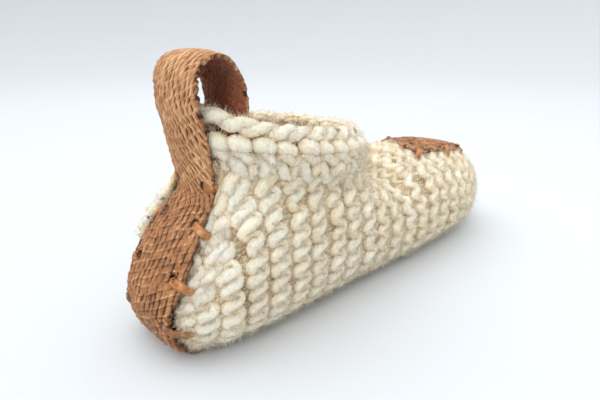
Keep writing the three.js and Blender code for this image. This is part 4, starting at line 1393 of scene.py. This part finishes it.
def thong(node, seed):
    tree = ray_tree(node)
    start, along, across, out, length = thong_way(node, leather_middle(node))
    at_toe = node in TOE_THONGS
    wear = Lattice(seed)
    points = np.zeros((THONG_ROWS, THONG_COLUMNS, 3))
    edge = np.zeros((THONG_ROWS, THONG_COLUMNS))
    tone = np.full((THONG_ROWS, THONG_COLUMNS), 0.5)
    for i, run in enumerate(np.linspace(-HOLE_TO_THONG, length, THONG_ROWS)):
        to_tip = (length - run) / THONG_WIDTH
        in_hole, share = max(-run / HOLE_TO_THONG, 0), max(run, 0) / length
        half = THONG_WIDTH / 2 * min(1, math.sqrt(max(1 - (1 - min(to_tip * 2, 1)) ** 2, 0.03)))
        half *= 0.9 + 0.1 * wear.one(run / WIDTH_CELL, 3.5)
        half *= 0.1 + 0.9 * math.sqrt(1 - in_hole ** 2)
        drop = THONG_DROP * in_hole ** 0.7
        sink = TIP_SINK * max(1 - to_tip / TIP_WIDTHS, 0) ** 1.3 + THONG_SINK
        if at_toe:
            half *= TOE_WIDE - TOE_NARROWING * share
            sink += TOE_SINK + TOE_TIP_SINK * min(share * 1.5, 1)
        if "ankle" in node:
            sink += ANKLE_BEND * share ** 1.5
        on = min(max(run, END_MARGIN), length - END_MARGIN)
        shade = max(FLOOR_SHADE * ("floor" in node), TIP_SHADE * max(1 - to_tip * 1.6, 0),
                    HOLE_SHADE * min(drop / MM, 1))
        for j, side in enumerate(np.linspace(-1, 1, THONG_COLUMNS)):
            spot = start + along * on + across * side * half
            found = hit(tree, spot + out * THONG_RAY * MM, -out * 2 * THONG_RAY * MM)
            found = found or tree.find_nearest(spot + out * NEAR_THONG * MM)[0]
            swell = THONG_SWELL * wear.one(run / SWELL_CELL, side * 1.5 + 9)
            shift = along * (run - on) - out * (drop + sink) + out * (swell - CUPPING * side * side)
            points[i, j] = found + shift
            edge[i, j] = max(shade, SIDE_SHADE * abs(side) ** 6)
    normals = np.ones_like(points) * np.array(out)
    leather_sheet(f"lace_{node}", points, normals, tone, edge, [], node, [LACE], "thong_leather",
                  THONG_THICKNESS)


for number, node_name in enumerate(HEEL_THONGS + TOE_THONGS):
    thong(node_name, THONG_SEED + number)


# Stage: a round floor that sweeps up into its own backdrop
STAGE_FLAT = 1.2
STAGE_SWEEP = 1.6
STAGE_STEPS = 16


def paper_backdrop():
    """White paper sweep: matt, painted greyer with distance, as painted shade where it rises far behind
    the slipper.
    """
    material, tree, shader = new_material("paper_backdrop")
    place = add_node(tree, "ShaderNodeTexCoord").outputs["Object"]
    away = add_node(tree, "ShaderNodeVectorMath", {"operation": "LENGTH"}, {0: place}).outputs["Value"]
    # Painted shade: the paper is painted darker the further it lies from the middle
    share = add_node(tree, "ShaderNodeMapRange", {"From Min": 0.2, "From Max": 2.6}, {"Value": away})
    colour = add_node(tree, "ShaderNodeValToRGB", {"stops": ((0, "#cdd0d2"), (1, "#a5a8ab"))},
                      {"Fac": share.outputs["Result"]}).outputs["Color"]
    set_node(tree, shader, {"Roughness": 0.9}, {"Base Color": colour})
    return material


def add_stage():
    bm = bmesh.new()
    bmesh.ops.create_circle(bm, segments=96, radius=STAGE_FLAT, cap_ends=True)
    edges = [edge for edge in bm.edges if edge.is_boundary]
    for k in range(1, STAGE_STEPS + 1):
        angle = math.pi / 2 * k / STAGE_STEPS
        ring = bmesh.ops.extrude_edge_only(bm, edges=edges)["geom"]
        edges = [part for part in ring if isinstance(part, bmesh.types.BMEdge)]
        reach = STAGE_FLAT + STAGE_SWEEP * math.sin(angle)
        for vertex in {v for edge in edges for v in edge.verts}:
            flat = vertex.co.xy.normalized() * reach
            vertex.co = (flat.x, flat.y, STAGE_SWEEP * (1 - math.cos(angle)))
    mesh = mesh_from(bm, "floor")
    mesh.shade_smooth()
    floor = bpy.data.objects.new("floor", mesh)
    bpy.context.collection.objects.link(floor)
    floor.data.materials.append(paper_backdrop())


def add_light(name, place, spread, power, code):
    """Light of a far, wide lamp; the spread is the angle that the lamp takes up, in degrees."""
    data = bpy.data.lights.new(name, "SUN")
    data.angle = math.radians(spread)
    data.energy = power
    data.color = linear(code)[:3]
    light = bpy.data.objects.new(name, data)
    light.location = place
    light.rotation_euler = (-Vector(place)).to_track_quat("-Z", "Y").to_euler()
    bpy.context.collection.objects.link(light)


def add_world():
    world = bpy.data.worlds.new("soft_room")
    bpy.context.scene.world = world
    world.use_nodes = True
    sky = world.node_tree.nodes["Background"]
    set_node(world.node_tree, sky, {"Color": linear("#eef2f6"), "Strength": 1.74})


add_stage()
add_world()
add_light("top", place=(-0.22, 0.49, 1), spread=60, power=0.7, code="#fbfbff")
add_light("key", place=(-0.75, -0.35, 0.6), spread=20, power=1.0, code="#fff6ea")
bpy.context.scene.view_settings.view_transform = "Standard"
